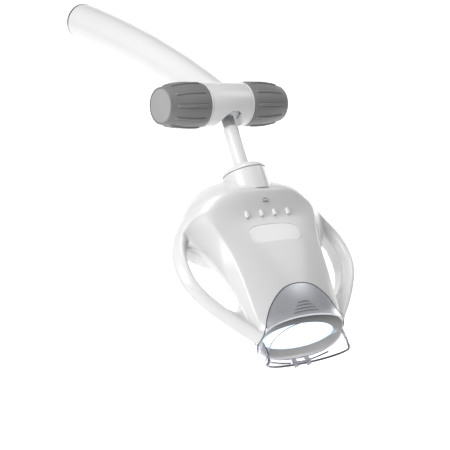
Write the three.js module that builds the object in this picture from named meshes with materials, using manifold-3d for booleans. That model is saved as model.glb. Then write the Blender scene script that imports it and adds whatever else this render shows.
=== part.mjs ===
// Teeth whitening lamp: the head, its friction hub and the end of the arm that carries it.
// Millimetres, +Z up. +X runs along the knobs, to the user's right; the light shines towards -Y.
import * as THREE from 'three';
import Module from 'manifold-3d';
import { mergeVertices } from 'three/addons/utils/BufferGeometryUtils.js';

const wasm = await Module();
wasm.setup();

// Driving sizes
const gap = 0.3; // running clearance between neighbouring pieces
const overrun = 1; // how far a cutter passes the face that it opens
const farOut = 120; // reach of the cutters that trim a whole side away
const roundSteps = 24; // segments round a visible turned piece
const smallSteps = 12; // segments round a small turned piece
const tinySteps = 8; // segments round a screw or a post
const knobSteps = 28; // segments round a knob
const degree = Math.PI / 180;
const weld = 1e-4;
const flatness = 0.06; // edges that change a surface by less than this are merged away

// Pose in which the lamp is kept
const stemTilt = 27 * degree; // the stem leans this far forward of straight down
const neckRake = 10 * degree; // the head is set this much further forward than its stem

// The hub's barrel stands a little to the left of the plane in which the arm, stem and head lie
const hub = { radius: 22, halfLength: 24.5, offset: -3, bore: 17, web: 4.4, webHole: 6 };
const slot = { halfWidth: 16, front: 75 * degree, back: -45 * degree, apexHalfWidth: 4.5, steps: 10 };
const arm = {
  hubRadius: 15.7, rootRadius: 20.3, wall: 2.6, startHeight: 1.5, reach: 262, height: 89,
  bendReach: 108, bendHeight: 53, stations: 10, innerStations: 6, hollowStartShare: 0.05,
};
const rootInsert = { flange: 3, depth: 22, cableHole: 4.5, holeOffset: 11 };
const ring = { width: 1.7, proud: 0.2 };
const knob = {
  length: 47.2, seatRadius: 22, fullRadius: 22.7, endRadius: 18.2, edge: 1.2, wall: 3.2,
  socket: 12, ribs: 10, ribHeight: 0.8, ribWidth: 1.8, ribStart: 5, ribEnd: 40, ribSink: 1.2, ribSpans: 4,
};
// Outline of a knob from hub to end: share of its length, share of the way from its end radius to its full one
const knobShares = [[0, 0.84], [0.1, 0.96], [0.3, 1], [0.5, 0.9], [0.68, 0.66], [0.85, 0.31], [0.975, 0]];
const knobCap = { thickness: 2.4, recess: 0.5, rim: 1.1, edge: 0.8, spigot: 5, spigotWall: 1.6 };
const axle = { radius: 4, halfLength: 46 };
const insertNut = { acrossCorners: 17 };
const friction = { thickness: 2, clearance: 1.5 };
const spring = { radius: 11, leaf: 1, dish: 1.2 };
const stem = { radius: 6.3, bore: 3.2, top: 8, sleeveRadius: 7.6, sleeveStart: 25, shoulder: 2.2 };
const swivel = {
  ringDrop: 75.2, capRadius: 22.2, capHeight: 9, capLip: 2.6, capCrown: 4.6, capRoot: 10.5, capShoulder: 18,
  washer: 1.6, washerRadius: 16, bushLength: 6.5, nutCorners: 20, nutLength: 5.5, rodPast: 2,
};
const neck = { radius: 22, wall: 3, length: 21, shelf: 2.4, shelfHole: 9 };

const head = {
  top: 74, length: 198, halfWidth: 106, partingDepth: 35, front: 39.5, rear: 28.5,
  wall: 2.6, handleWidth: 13.5, handleCrest: 8.6,
};
// One row for each section down the head, as shares of the sizes above: distance down,
// half-width, height of the face, depth of the back, how square the section is (a power),
// and how deep the scoop beside the face is cut (0 none, 1 full).
const sectionShares = [
  [0.000, 0.245, 0.280, 0.280, 2.3, 0],
  [0.020, 0.373, 0.456, 0.456, 2.5, 0],
  [0.051, 0.481, 0.709, 0.614, 2.8, 0],
  [0.091, 0.585, 0.970, 0.737, 3.2, 0],
  [0.141, 0.684, 0.975, 0.842, 3.6, 0],
  [0.202, 0.792, 0.792, 0.930, 3.6, 0.45],
  [0.273, 0.896, 0.714, 0.982, 3.2, 1],
  [0.343, 0.967, 0.722, 1.000, 2.6, 1],
  [0.424, 1.000, 0.729, 1.000, 2.6, 1],
  [0.505, 0.995, 0.727, 0.982, 2.6, 1],
  [0.576, 0.948, 0.714, 0.947, 2.6, 1],
  [0.646, 0.868, 0.694, 0.895, 2.7, 1],
  [0.707, 0.778, 0.658, 0.832, 2.9, 1],
  [0.768, 0.665, 0.608, 0.762, 3.4, 0.85],
  [0.818, 0.561, 0.562, 0.700, 4.2, 0.3],
  [0.859, 0.495, 0.532, 0.620, 5, 0],
  [0.909, 0.482, 0.506, 0.560, 5, 0],
  [1.000, 0.468, 0.468, 0.460, 5, 0],
];
// The ridge beside the face and the crease at the foot of the scoop: distance down,
// then half-width and height of the ridge, then the same of the crease.
const scoopShares = [
  [0.141, 0.560, 0.670, 0.630, 0.380],
  [0.202, 0.640, 0.481, 0.735, 0.203],
  [0.273, 0.601, 0.582, 0.763, 0.253],
  [0.343, 0.558, 0.557, 0.725, 0.203],
  [0.424, 0.530, 0.549, 0.658, 0.177],
  [0.505, 0.515, 0.519, 0.591, 0.139],
  [0.576, 0.509, 0.473, 0.553, 0.101],
  [0.646, 0.501, 0.418, 0.525, 0.051],
  [0.707, 0.496, 0.367, 0.515, 0.051],
  [0.768, 0.480, 0.332, 0.505, 0.058],
  [0.818, 0.440, 0.318, 0.480, 0.096],
  [0.859, 0.420, 0.318, 0.450, 0.115],
];
// Side wall of the body along the hand hole: distance down, half-width
const sideShares = [
  [0.300, 0.930], [0.325, 0.815], [0.343, 0.745], [0.374, 0.695], [0.424, 0.640], [0.474, 0.598],
  [0.525, 0.558], [0.576, 0.525], [0.626, 0.503], [0.667, 0.500],
];
const handHole = { startShare: 0.33, endShare: 0.69, steps: 9, easeShare: 0.2, outerTaper: 4.5 };
// Points across the handle, as shares of its width in from the outside, and of its crest's height
const handleShares = [[1, 0.08], [0.4, 1], [0.1, 0.65], [0, 0]];
const scoopFoot = { alongShare: 0.3, dropShare: 0.62, clearShare: 0.05 };
// Spacing of the points across a plain section, as shares of its half-width
const plainShares = [0, 0.35, 0.58, 0.74, 0.84, 0.91, 0.96, 0.99, 1];
const rearShares = [0.975, 0.88, 0.68, 0.36, 0];
// The same for the hollow inside, which has fewer points
const hollowShares = [0, 0.45, 0.72, 0.88, 0.97, 1];
const hollowRearShares = [0.9, 0.6, 0];
const section = { frontPower: 0.6, rearPower: 0.6, rearSquareness: 2.4, crownPower: 2.2 };
const crownShares = [0, 0.55, 1];

// The hood's plan on the face: half-width as a share of the head's, distance down
const hoodShares = [
  [0.000, 0.641], [0.080, 0.643], [0.157, 0.651], [0.258, 0.677], [0.348, 0.722],
  [0.401, 0.763], [0.453, 0.803], [0.500, 0.854], [0.560, 0.870],
];
// Places down the head and across it that keep to its length and its width
const dropAt = (share) => head.top + share * head.length;
const acrossAt = (share) => share * head.halfWidth;
const port = {
  drop: dropAt(0.8687), depth: 30.5, tilt: 36.6 * degree, halfWidth: acrossAt(0.4528), halfHeight: 20.8,
  seatHalfWidth: acrossAt(0.4189), seatHalfHeight: 13, seatFall: 2.5, recess: 6, rim: 10, ledge: 1.2,
};
const diffuser = { thickness: 2 };
const reflector = { wall: 1.2, backHalfWidth: acrossAt(0.33), backHalfHeight: 9, backFall: -2, length: 8 };
const ledBoard = { halfWidth: acrossAt(0.283), halfHeight: 9, thickness: 1.6 };
const chip = { columns: 5, rows: 2, size: 4.2, height: 1.5, pitch: acrossAt(0.099), rowPitch: 5.4 };
const guide = {
  wall: 2, clearance: 0.35, overlap: 3, lipDrop: dropAt(0.9722),
  sideDrop: dropAt(0.9848), sideDepth: 29, crownDrop: dropAt(0.803), crownDepth: 7,
};
const clip = { spread: 8, width: 2.2, height: 5, length: 9, hook: 3, bar: 1.8, sink: 1 };

const keys = {
  drop: dropAt(0.2525), places: [-0.2415, -0.0764, 0.0764, 0.2415].map(acrossAt),
  width: 3.4, length: 7, proud: 2.2, travel: 0.7,
  flange: 0.9, flangeThickness: 1, endSteps: 3,
};
const indicator = { drop: dropAt(0.1944), width: 7, height: 3.2, proud: 1 };
const label = {
  drop: dropAt(0.3662), halfWidth: acrossAt(0.2925), halfHeight: 9.5, corner: 6, thickness: 1, recess: 0.4,
};
const keyMat = {
  halfWidth: acrossAt(0.283), top: dropAt(0.2172), bottom: dropAt(0.2879), thickness: 1.4, depth: 13.6,
};
const controlBoard = {
  halfWidth: acrossAt(0.3113), top: dropAt(0.1616), bottom: dropAt(0.3333), thickness: 1.6,
};
const driverBoard = {
  halfWidth: acrossAt(0.2642), top: dropAt(0.1919), bottom: dropAt(0.3434), thickness: 1.6, depth: 49,
};
const post = { radius: 2.2, inset: 5, skin: 0.8 };
const driverPart = { width: acrossAt(0.0755), depth: 5, height: 6, columns: 4, pitch: acrossAt(0.132) };
const fan = {
  half: 20, depth: 32, top: dropAt(0.3636), length: 10, throat: 18.4, bladeRadius: 17.6, hubRadius: 7, blades: 7,
  bladeThickness: 1.4, bladePitch: 35 * degree, strut: 1.8,
};
const heatSink = {
  halfWidth: acrossAt(0.3019), top: fan.top + fan.length + gap, bottom: dropAt(0.6616),
  front: 25, rear: 49, base: 4, fins: 9, fin: 1.6,
};
const screw = { radius: 1.6, headRadius: 3, headLength: 2.2, grip: 11, boss: 4, seat: 2.4 };
const screwShares = [[0.47, 0.20], [0.38, 0.735]]; // half-width and distance down
const vent = { halfWidth: acrossAt(0.151), slots: 6, slot: 2.6, pitch: 6, drop: dropAt(0.2727) };
const rail = { spread: acrossAt(0.2075), width: 3, top: dropAt(0.4444), bottom: dropAt(0.6364) };

// Finishes
const finish = (color, roughness, metalness = 0) => new THREE.MeshStandardMaterial({ color, roughness, metalness });
const whitePlastic = finish(0xf2f2f0, 0.35);
const greyGrip = finish(0x7d7e80, 0.6);
const greyCap = finish(0x9b9b9c, 0.5);
const steel = finish(0xb8babd, 0.3, 0.9);
const brass = finish(0xb89a4e, 0.35, 0.9);
const satinSilver = finish(0xa9adb2, 0.25, 0.9);
const clearPlastic = finish(0xdfe6f2, 0.08);
const diffuserWhite = finish(0xf6fbff, 0.4);
const boardGreen = finish(0x2c6a43, 0.6);
const blackPlastic = finish(0x242526, 0.5);
const aluminium = finish(0xc4c7ca, 0.4, 0.9);
const silicone = finish(0xb9bcc0, 0.7);
const frictionFibre = finish(0x5c4a3c, 0.8);

const { lerp } = THREE.MathUtils;
const sides = [['left', -1], ['right', 1]];

// Solids from three.js geometry, joined and cut
function solid(geometry) {
  const bare = geometry.clone();
  bare.deleteAttribute('normal');
  bare.deleteAttribute('uv');
  const merged = mergeVertices(bare, weld);
  const corners = Array.from(merged.index.array);
  const points = merged.attributes.position;
  const kept = [];
  let volume = 0;
  for (let first = 0; first < corners.length; first += 3) {
    const [a, b, c] = corners.slice(first, first + 3);
    if (a === b || b === c || c === a) continue;
    kept.push([a, b, c]);
    const [p, q, r] = [a, b, c].map((corner) => new THREE.Vector3().fromBufferAttribute(points, corner));
    volume += p.dot(q.cross(r));
  }
  const outwards = volume < 0 ? kept.map(([a, b, c]) => [a, c, b]) : kept;
  return new wasm.Manifold(new wasm.Mesh({
    numProp: 3,
    vertProperties: new Float32Array(points.array),
    triVerts: new Uint32Array(outwards.flat()),
  }));
}

function addNode(parent, name, shape, material) {
  const { vertProperties, triVerts } = shape.simplify(flatness).getMesh();
  const geometry = new THREE.BufferGeometry();
  geometry.setAttribute('position', new THREE.BufferAttribute(new Float32Array(vertProperties), 3));
  geometry.setIndex(new THREE.BufferAttribute(new Uint32Array(triVerts), 1));
  geometry.computeVertexNormals();
  const mesh = new THREE.Mesh(geometry, material);
  mesh.name = name;
  parent.add(mesh);
}

const union = (shapes) => shapes.reduce((whole, shape) => whole.add(shape));

function boxBetween([x0, y0, z0], [x1, y1, z1]) {
  return new THREE.BoxGeometry(x1 - x0, y1 - y0, z1 - z0)
    .translate((x0 + x1) / 2, (y0 + y1) / 2, (z0 + z1) / 2);
}

// A turned solid about Z, from an outline of [radius, height] points that closes on itself or the axis
function turned(outline, steps = roundSteps) {
  const points = outline.map(([radius, height]) => new THREE.Vector2(radius, height));
  return new THREE.LatheGeometry(points, steps).rotateX(Math.PI / 2);
}

function rod(radius, from, to, steps = smallSteps) {
  return turned([[0, from], [radius, from], [radius, to], [0, to]], steps);
}

function tube(outer, inner, from, to, steps = roundSteps) {
  return turned([[inner, from], [outer, from], [outer, to], [inner, to], [inner, from]], steps);
}

// The same solids lying along X, on the left or the right side
const alongX = (geometry, side = 1) => geometry.rotateY(side * Math.PI / 2);

function hexNut(acrossCorners, bore, from, to) {
  return solid(rod(acrossCorners / 2, from, to, 6)).subtract(solid(rod(bore, from - overrun, to + overrun)));
}

// A plate cut to a flat outline of [x, height] points, standing in XZ between two depths
function plate(outline, near, far) {
  const shape = new THREE.Shape(outline.map(([x, height]) => new THREE.Vector2(x, height)));
  return new THREE.ExtrudeGeometry(shape, { depth: far - near, bevelEnabled: false })
    .rotateX(Math.PI / 2)
    .translate(0, far, 0);
}

// A closed skin through rings of points, with a cap on each end
function loft(rings, capAxes = ['x', 'y']) {
  const count = rings[0].length;
  const capOf = (ringPoints) => THREE.ShapeUtils.triangulateShape(
    ringPoints.map((point) => new THREE.Vector2(point[capAxes[0]], point[capAxes[1]])), [],
  ).map((corners) => corners.sort((a, b) => a - b));
  const last = (rings.length - 1) * count;
  const index = [];
  for (let start = 0; start < last; start += count) {
    for (let column = 0; column < count; column += 1) {
      const a = start + column;
      const b = start + (column + 1) % count;
      index.push(a, b, b + count, a, b + count, a + count);
    }
  }
  capOf(rings[0]).forEach(([a, b, c]) => index.push(c, b, a));
  capOf(rings.at(-1)).forEach(([a, b, c]) => index.push(last + a, last + b, last + c));
  const geometry = new THREE.BufferGeometry();
  const numbers = rings.flat().flatMap((point) => point.toArray());
  geometry.setAttribute('position', new THREE.Float32BufferAttribute(numbers, 3));
  geometry.setIndex(index);
  return geometry;
}

// A row of a table of shares at any distance down, in between its rows
function rowAt(table, share) {
  const found = table.findIndex(([start]) => start >= share);
  const after = found < 0 ? table.length - 1 : Math.max(1, found);
  const [from, to] = [table[after - 1], table[after]];
  const part = THREE.MathUtils.clamp((share - from[0]) / (to[0] - from[0]), 0, 1);
  return from.map((value, column) => lerp(value, to[column], part));
}

// The arm and the hub at its end
const armCurve = new THREE.QuadraticBezierCurve3(
  new THREE.Vector3(0, 0, arm.startHeight),
  new THREE.Vector3(0, arm.bendReach, arm.bendHeight),
  new THREE.Vector3(0, arm.reach, arm.height),
);

function armSolid(inset, fromShare, stations, steps) {
  const rings = Array.from({ length: stations + 1 }, (_, station) => {
    const share = lerp(fromShare, 1, station / stations);
    const radius = lerp(arm.hubRadius, arm.rootRadius, share) - inset;
    const tangent = armCurve.getTangent(share);
    const past = inset > 0 && station === stations ? overrun : 0;
    const centre = armCurve.getPoint(share).addScaledVector(tangent, past);
    const upwards = new THREE.Vector3(0, -tangent.z, tangent.y);
    return Array.from({ length: steps }, (__, step) => {
      const angle = step / steps * 2 * Math.PI;
      return new THREE.Vector3(radius * Math.sin(angle), 0, 0)
        .addScaledVector(upwards, radius * Math.cos(angle))
        .add(centre);
    });
  });
  return solid(loft(rings, ['x', 'z']));
}

// The window in the hub through which the stem swings: a wedge swept round the hub's axis
function slotCutter() {
  const rings = Array.from({ length: slot.steps + 1 }, (_, step) => {
    const share = step / slot.steps;
    const angle = lerp(slot.back, slot.front, share);
    const narrowing = Math.sqrt(1 - Math.max(0, 2 * share - 1) ** 2);
    const half = Math.max(slot.apexHalfWidth, slot.halfWidth * narrowing);
    const at = (x, radius) => new THREE.Vector3(x, -radius * Math.sin(angle), -radius * Math.cos(angle));
    const near = hub.bore - hub.web;
    const far = hub.radius + hub.web;
    return [at(-half, near), at(half, near), at(half, far), at(-half, far)];
  });
  return solid(loft(rings));
}

const webOuter = hub.halfLength - hub.web;
const webInner = webOuter - hub.web;

function buildArm() {
  const atHub = (shape) => shape.translate([hub.offset, 0, 0]);
  const barrel = solid(alongX(rod(hub.radius, -hub.halfLength, hub.halfLength, knobSteps)));
  const recesses = sides.map(([, side]) => solid(alongX(
    rod(hub.bore, webOuter, hub.halfLength + overrun, roundSteps), side,
  )));
  const hollow = union([
    solid(alongX(rod(hub.bore, -webInner, webInner, roundSteps))),
    solid(alongX(rod(hub.webHole, -hub.halfLength, hub.halfLength))),
    ...recesses,
  ]);
  return armSolid(0, 0, arm.stations, roundSteps)
    .add(atHub(barrel))
    .subtract(armSolid(arm.wall, arm.hollowStartShare, arm.innerStations, roundSteps))
    .subtract(atHub(hollow))
    .subtract(slotCutter());
}

// A steel plug with a flange that closes the arm's root and carries it, with a hole for the cable
function buildRootInsert() {
  const taper = (arm.rootRadius - arm.hubRadius) / armCurve.getLength();
  const seat = arm.rootRadius - arm.wall - gap - taper * rootInsert.depth;
  const face = gap + rootInsert.flange;
  const tangent = armCurve.getTangent(1);
  const end = armCurve.getPoint(1);
  const plug = solid(turned([
    [0, -rootInsert.depth], [seat, -rootInsert.depth], [seat, gap], [arm.rootRadius, gap],
    [arm.rootRadius, face], [0, face],
  ]));
  const hole = solid(rod(rootInsert.cableHole, -rootInsert.depth - overrun, face + overrun));
  return plug.subtract(hole.translate([0, -rootInsert.holeOffset, 0]))
    .rotate([-Math.atan2(tangent.y, tangent.z) / degree, 0, 0])
    .translate([end.x, end.y, end.z]);
}

// Knobs: each turns on the axle's end and squeezes the hub onto the drum
const ringStart = hub.halfLength + gap;
const knobStart = ringStart + ring.width + gap;
const knobEnd = knobStart + knob.length;
const capSeat = knobEnd - knobCap.recess - knobCap.thickness;
const capRadius = knob.endRadius - knobCap.rim;

function knobRadius(share) {
  return lerp(knob.endRadius, knob.fullRadius, rowAt(knobShares, share)[1]);
}

function buildKnob(side) {
  const outline = knobShares.map(([share]) => [knobRadius(share), knobStart + share * knob.length]);
  const body = solid(turned([
    [0, knobStart], [knob.seatRadius - ring.proud, knobStart], ...outline.slice(1),
    [knob.endRadius - knob.edge / 2, knobEnd], [0, knobEnd],
  ], knobSteps));
  const ribs = Array.from({ length: knob.ribs }, (_, number) => {
    const top = Array.from({ length: knob.ribSpans + 1 }, (__, step) => {
      const along = lerp(knob.ribStart, knob.ribEnd, step / knob.ribSpans);
      const rise = step === 0 || step === knob.ribSpans ? 0 : knob.ribHeight;
      return [knobStart + along, knobRadius(along / knob.length) + rise];
    });
    const foot = [...top].reverse().map(([along, radius]) => [along, radius - knob.ribSink - knob.ribHeight]);
    return solid(plate([...top, ...foot], -knob.ribWidth / 2, knob.ribWidth / 2)
      .rotateX((number + 0.5) / knob.ribs * 2 * Math.PI));
  });
  const pocketEnd = knobStart + knob.socket;
  const pocket = solid(rod(insertNut.acrossCorners / 2 + gap, knobStart - overrun, pocketEnd, 6));
  const shaftHole = solid(rod(axle.radius + gap, knobStart, capSeat));
  const chamberFloor = pocketEnd + knob.wall;
  const chamber = solid(turned([
    [0, chamberFloor], [knob.endRadius - knob.wall, chamberFloor], [capRadius - knobCap.spigotWall, capSeat],
    [capRadius + gap, capSeat], [capRadius + gap, knobEnd + overrun], [0, knobEnd + overrun],
  ], roundSteps));
  const turnedParts = body.subtract(pocket).subtract(shaftHole).subtract(chamber);
  const grip = union(ribs);
  const laid = (shape) => shape.rotate([0, side * 90, 0]);
  return laid(turnedParts).add(side > 0 ? grip : grip.mirror([1, 0, 0]));
}

function buildKnobCap(side) {
  const face = capSeat + gap + knobCap.thickness - gap;
  const spigotRadius = capRadius - knobCap.spigotWall - gap;
  return solid(alongX(turned([
    [0, capSeat + gap], [spigotRadius - knobCap.spigotWall, capSeat + gap],
    [spigotRadius - knobCap.spigotWall, capSeat - knobCap.spigot], [spigotRadius, capSeat - knobCap.spigot],
    [spigotRadius, capSeat + gap], [capRadius, capSeat + gap], [capRadius, face - knobCap.edge],
    [capRadius - knobCap.edge, face], [0, face],
  ]), side));
}

function addHub(carrier) {
  addNode(carrier, 'arm_with_hub', buildArm(), whitePlastic);
  addNode(carrier, 'arm_root_insert', buildRootInsert(), steel);
  const parent = new THREE.Group();
  parent.position.x = hub.offset;
  carrier.add(parent);
  addNode(parent, 'hub_axle', solid(alongX(rod(axle.radius, -axle.halfLength, axle.halfLength, smallSteps))), steel);
  sides.forEach(([name, side]) => {
    const ringBore = spring.radius + gap;
    const nutStart = knobStart;
    const nutEnd = knobStart + knob.socket - gap;
    const nut = hexNut(insertNut.acrossCorners, axle.radius + gap, nutStart, nutEnd);
    addNode(parent, `${name}_knob`, buildKnob(side), greyGrip);
    addNode(parent, `${name}_knob_cap`, buildKnobCap(side), greyCap);
    addNode(parent, `${name}_trim_ring`,
      solid(alongX(tube(
        hub.radius + ring.proud, ringBore, ringStart, ringStart + ring.width, knobSteps,
      ), side)), whitePlastic);
    addNode(parent, `${name}_knob_nut`, nut.rotate([0, side * 90, 0]), brass);
    addNode(parent, `${name}_disc_spring`, solid(alongX(turned([
      [axle.radius + gap, webOuter + gap + spring.dish], [spring.radius, webOuter + gap],
      [spring.radius, webOuter + gap + spring.leaf], [axle.radius + gap, webOuter + gap + spring.dish + spring.leaf],
      [axle.radius + gap, webOuter + gap + spring.dish],
    ], smallSteps), side)), steel);
    addNode(parent, `${name}_friction_disc`, solid(alongX(tube(
      hub.bore - friction.clearance, hub.webHole, webInner - gap - friction.thickness, webInner - gap, smallSteps,
    ), side)), frictionFibre);
  });
}

// The drum in the hub, the stem that hangs from it and the swivel joint at its foot.
// Distances are measured down the stem from the hub's axis.
const swivelStack = (() => {
  const capTop = swivel.ringDrop - swivel.capHeight;
  const bushTop = swivel.ringDrop;
  const shelfTop = bushTop + swivel.bushLength + gap;
  const washerTop = shelfTop + neck.shelf + gap;
  const nutTop = washerTop + swivel.washer + gap;
  const rodEnd = nutTop + swivel.nutLength + swivel.rodPast;
  return { capTop, bushTop, shelfTop, washerTop, nutTop, rodEnd };
})();
const collarTop = swivel.ringDrop + gap;
const shaftHole = stem.radius + gap;

function buildDrum() {
  const half = webInner - gap - friction.thickness - gap;
  const radius = hub.bore - 2 * gap;
  return solid(alongX(rod(radius, -half, half, roundSteps)))
    .subtract(solid(alongX(rod(axle.radius + gap, -half - overrun, half + overrun))))
    .translate([hub.offset, 0, 0])
    .subtract(solid(rod(shaftHole, -hub.radius, -stem.top + gap)));
}

function buildCap() {
  const { capTop } = swivelStack;
  const lipTop = swivel.ringDrop - gap - swivel.capLip;
  return solid(turned([
    [shaftHole, -capTop], [swivel.capRoot, -capTop],
    [swivel.capShoulder, lerp(-capTop, -lipTop, swivel.capCrown / swivel.capHeight)],
    [swivel.capRadius, -lipTop], [swivel.capRadius, gap - swivel.ringDrop],
    [shaftHole, gap - swivel.ringDrop], [shaftHole, -capTop],
  ]));
}

function buildSleeve() {
  const end = gap - swivelStack.capTop;
  return solid(turned([
    [shaftHole, end], [stem.sleeveRadius, end], [stem.sleeveRadius, -stem.sleeveStart - stem.shoulder],
    [shaftHole, -stem.sleeveStart], [shaftHole, end],
  ], roundSteps));
}

function addStem(parent) {
  const { bushTop, shelfTop, washerTop, nutTop, rodEnd } = swivelStack;
  addNode(parent, 'pivot_drum', buildDrum(), steel);
  addNode(parent, 'stem_rod', solid(tube(stem.radius, stem.bore, -rodEnd, -stem.top, roundSteps)), steel);
  addNode(parent, 'stem_sleeve', buildSleeve(), whitePlastic);
  addNode(parent, 'swivel_cap', buildCap(), whitePlastic);
  addNode(parent, 'swivel_washer',
    solid(tube(swivel.washerRadius, shaftHole, -washerTop - swivel.washer, -washerTop, smallSteps)), steel);
  addNode(parent, 'stem_nut', hexNut(swivel.nutCorners, shaftHole, -nutTop - swivel.nutLength, -nutTop), brass);
  addNode(parent, 'swivel_bush',
    solid(tube(neck.radius - neck.wall - gap, shaftHole, gap - shelfTop, -bushTop, smallSteps)), silicone);
}

// The head's form: a crowned pebble with a scoop on each side of the face.
// A point across a section is [distance from the middle, height in front of the parting plane].
function sectionHalf(share, inset, hollow) {
  const [, widthShare, frontShare, rearShare, power, scoop] = rowAt(sectionShares, share);
  const fullHalf = head.halfWidth * widthShare;
  const bodyHalf = head.halfWidth * rowAt(sideShares, share)[1];
  const half = (hollow ? Math.min(fullHalf, bodyHalf) : fullHalf) - inset;
  const front = head.front * frontShare - inset;
  const rear = head.rear * rearShare - inset;
  const plain = (hollow ? hollowShares : plainShares).map((place) => [
    half * place, front * (1 - place ** power) ** section.frontPower,
  ]);
  const rearHalf = (hollow ? hollowRearShares : rearShares).map((place) => [
    half * place, -rear * (1 - place ** section.rearSquareness) ** section.rearPower,
  ]);
  if (hollow || scoop === 0) return [...plain, ...rearHalf];

  const [, ridgeWidth, ridgeHeight, creaseWidth, creaseHeight] = rowAt(scoopShares, share);
  const ridge = [ridgeWidth * head.halfWidth - inset, ridgeHeight * head.front - inset];
  const crease = [creaseWidth * head.halfWidth - inset, creaseHeight * head.front - inset];
  const crown = crownShares.map((place) => [
    ridge[0] * place, front - (front - ridge[1]) * place ** section.crownPower,
  ]);
  const wallFoot = [lerp(ridge[0], crease[0], scoopFoot.alongShare), lerp(ridge[1], crease[1], scoopFoot.dropShare)];
  const handle = handleShares.map(([inwards, rise]) => [
    half - inwards * head.handleWidth, rise * head.handleCrest - (rise > 0 ? inset : 0),
  ]);
  const scooped = [...crown, wallFoot, crease, ...handle];
  for (let number = crown.length + 2; number < scooped.length; number += 1) {
    const clear = scooped[number - 1][0] + scoopFoot.clearShare * head.handleWidth;
    if (scooped[number][0] < clear && number < scooped.length - 1) scooped[number][0] = clear;
  }
  const face = scooped.map(([x, height], number) => [
    lerp(plain[number][0], x, scoop), lerp(plain[number][1], height, scoop),
  ]);
  return [...face, ...rearHalf];
}

function headForm(inset = 0, hollow = false) {
  const rings = sectionShares.map(([tableShare]) => {
    const share = hollow ? Math.max(tableShare, inset / head.length) : tableShare;
    const half = sectionHalf(share, inset, hollow);
    const mirrored = half.slice(1, -1).reverse().map(([x, height]) => [-x, height]);
    return [...half, ...mirrored].map(([x, height]) => new THREE.Vector3(
      x, head.partingDepth - height, -head.top - share * head.length,
    ));
  });
  return solid(loft(rings));
}

// Depth of the face at a place on it
function faceDepth(x, drop) {
  const half = sectionHalf((drop - head.top) / head.length, 0, false);
  const outer = half.findIndex(([width]) => width > Math.abs(x));
  const [from, to] = [half[outer - 1], half[outer]];
  return head.partingDepth - lerp(from[1], to[1], (Math.abs(x) - from[0]) / (to[0] - from[0]));
}

// The hollow of the body: inside the skin and between the walls beside the hand holes
const bodyHollow = () => headForm(head.wall, true).intersect(headForm(head.wall));

// Half-spaces of the head, as large boxes, that keep or cut one side
const frontSide = (depth) => solid(boxBetween([-farOut, -farOut, -3 * farOut], [farOut, depth, 0]));
const rearSide = (depth) => solid(boxBetween([-farOut, depth, -3 * farOut], [farOut, 2 * farOut, 0]));

// The opening of each handle, cut right through from front to back
function handHoleCutter(side) {
  const outline = Array.from({ length: handHole.steps + 1 }, (_, step) => {
    const along = step / handHole.steps;
    const share = lerp(handHole.startShare, handHole.endShare, along);
    const inner = head.halfWidth * rowAt(sideShares, share)[1];
    const outer = head.halfWidth * rowAt(sectionShares, share)[1] - head.handleWidth - handHole.outerTaper * along;
    const toEnd = Math.min(along, 1 - along) / handHole.easeShare;
    const opening = (outer - inner) / 2 * Math.sqrt(1 - Math.max(0, 1 - toEnd) ** 2);
    return { middle: (inner + outer) / 2, opening, height: -dropAt(share) };
  });
  const inside = outline.map(({ middle, opening, height }) => [side * (middle - opening), height]);
  const outside = outline.slice(1, -1).reverse()
    .map(({ middle, opening, height }) => [side * (middle + opening), height]);
  return solid(plate([...inside, ...outside], -head.front, farOut));
}

// Everything that the silver hood covers: a domed tongue on the face, a straight edge at the back
function hoodRegion(margin) {
  const right = hoodShares.map(([across, down]) => [
    across * head.halfWidth + (across > 0 ? margin : 0), -dropAt(down) + margin,
  ]);
  const foot = [[farOut, right.at(-1)[1]], [farOut, -3 * farOut]];
  const outline = [...right, ...foot];
  const mirrored = outline.slice(1).reverse().map(([x, height]) => [-x, height]);
  const split = head.partingDepth;
  const front = plate([...outline, ...mirrored], -farOut, split);
  const edge = right.at(-1)[1];
  const rear = boxBetween([-farOut, split - overrun, -3 * farOut], [farOut, 2 * farOut, edge]);
  return solid(front).add(solid(rear));
}

// Places given in the light port's own frame: x across, y down its face, z into the head
const inPort = (geometry) => geometry.rotateX(-port.tilt).translate(0, port.depth, -port.drop);

function portOval(halfWidth, halfHeight, fall, depth) {
  return Array.from({ length: roundSteps }, (_, step) => {
    const angle = step / roundSteps * 2 * Math.PI;
    return new THREE.Vector3(halfWidth * Math.cos(angle), fall + halfHeight * Math.sin(angle), depth);
  });
}

const portLoft = (ovals) => solid(inPort(loft(ovals.map((oval) => portOval(...oval)))));
const behindPort = (depth) => solid(inPort(boxBetween([-farOut, -farOut, depth], [farOut, farOut, 2 * farOut])));

const lightStack = (() => {
  const diffuserFace = port.recess + gap;
  const reflectorFace = diffuserFace + diffuser.thickness + gap;
  const boardFace = reflectorFace + reflector.length + gap;
  const sinkFace = boardFace + ledBoard.thickness + gap;
  return { diffuserFace, reflectorFace, boardFace, sinkFace };
})();

// Shells
const keyEnd = keyMat.depth - gap - keys.travel;

function stadium(width, length, x, drop) {
  const radius = Math.min(width, length) / 2;
  const [reachX, reachZ] = [width / 2 - radius, length / 2 - radius];
  const quarter = Math.PI / 2;
  return Array.from({ length: 4 * keys.endSteps }, (_, step) => {
    const angle = (step + 0.5) / keys.endSteps * quarter;
    return [
      x + Math.sign(Math.cos(angle)) * reachX + radius * Math.cos(angle),
      -drop + Math.sign(Math.sin(angle)) * reachZ + radius * Math.sin(angle),
    ];
  });
}

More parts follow.
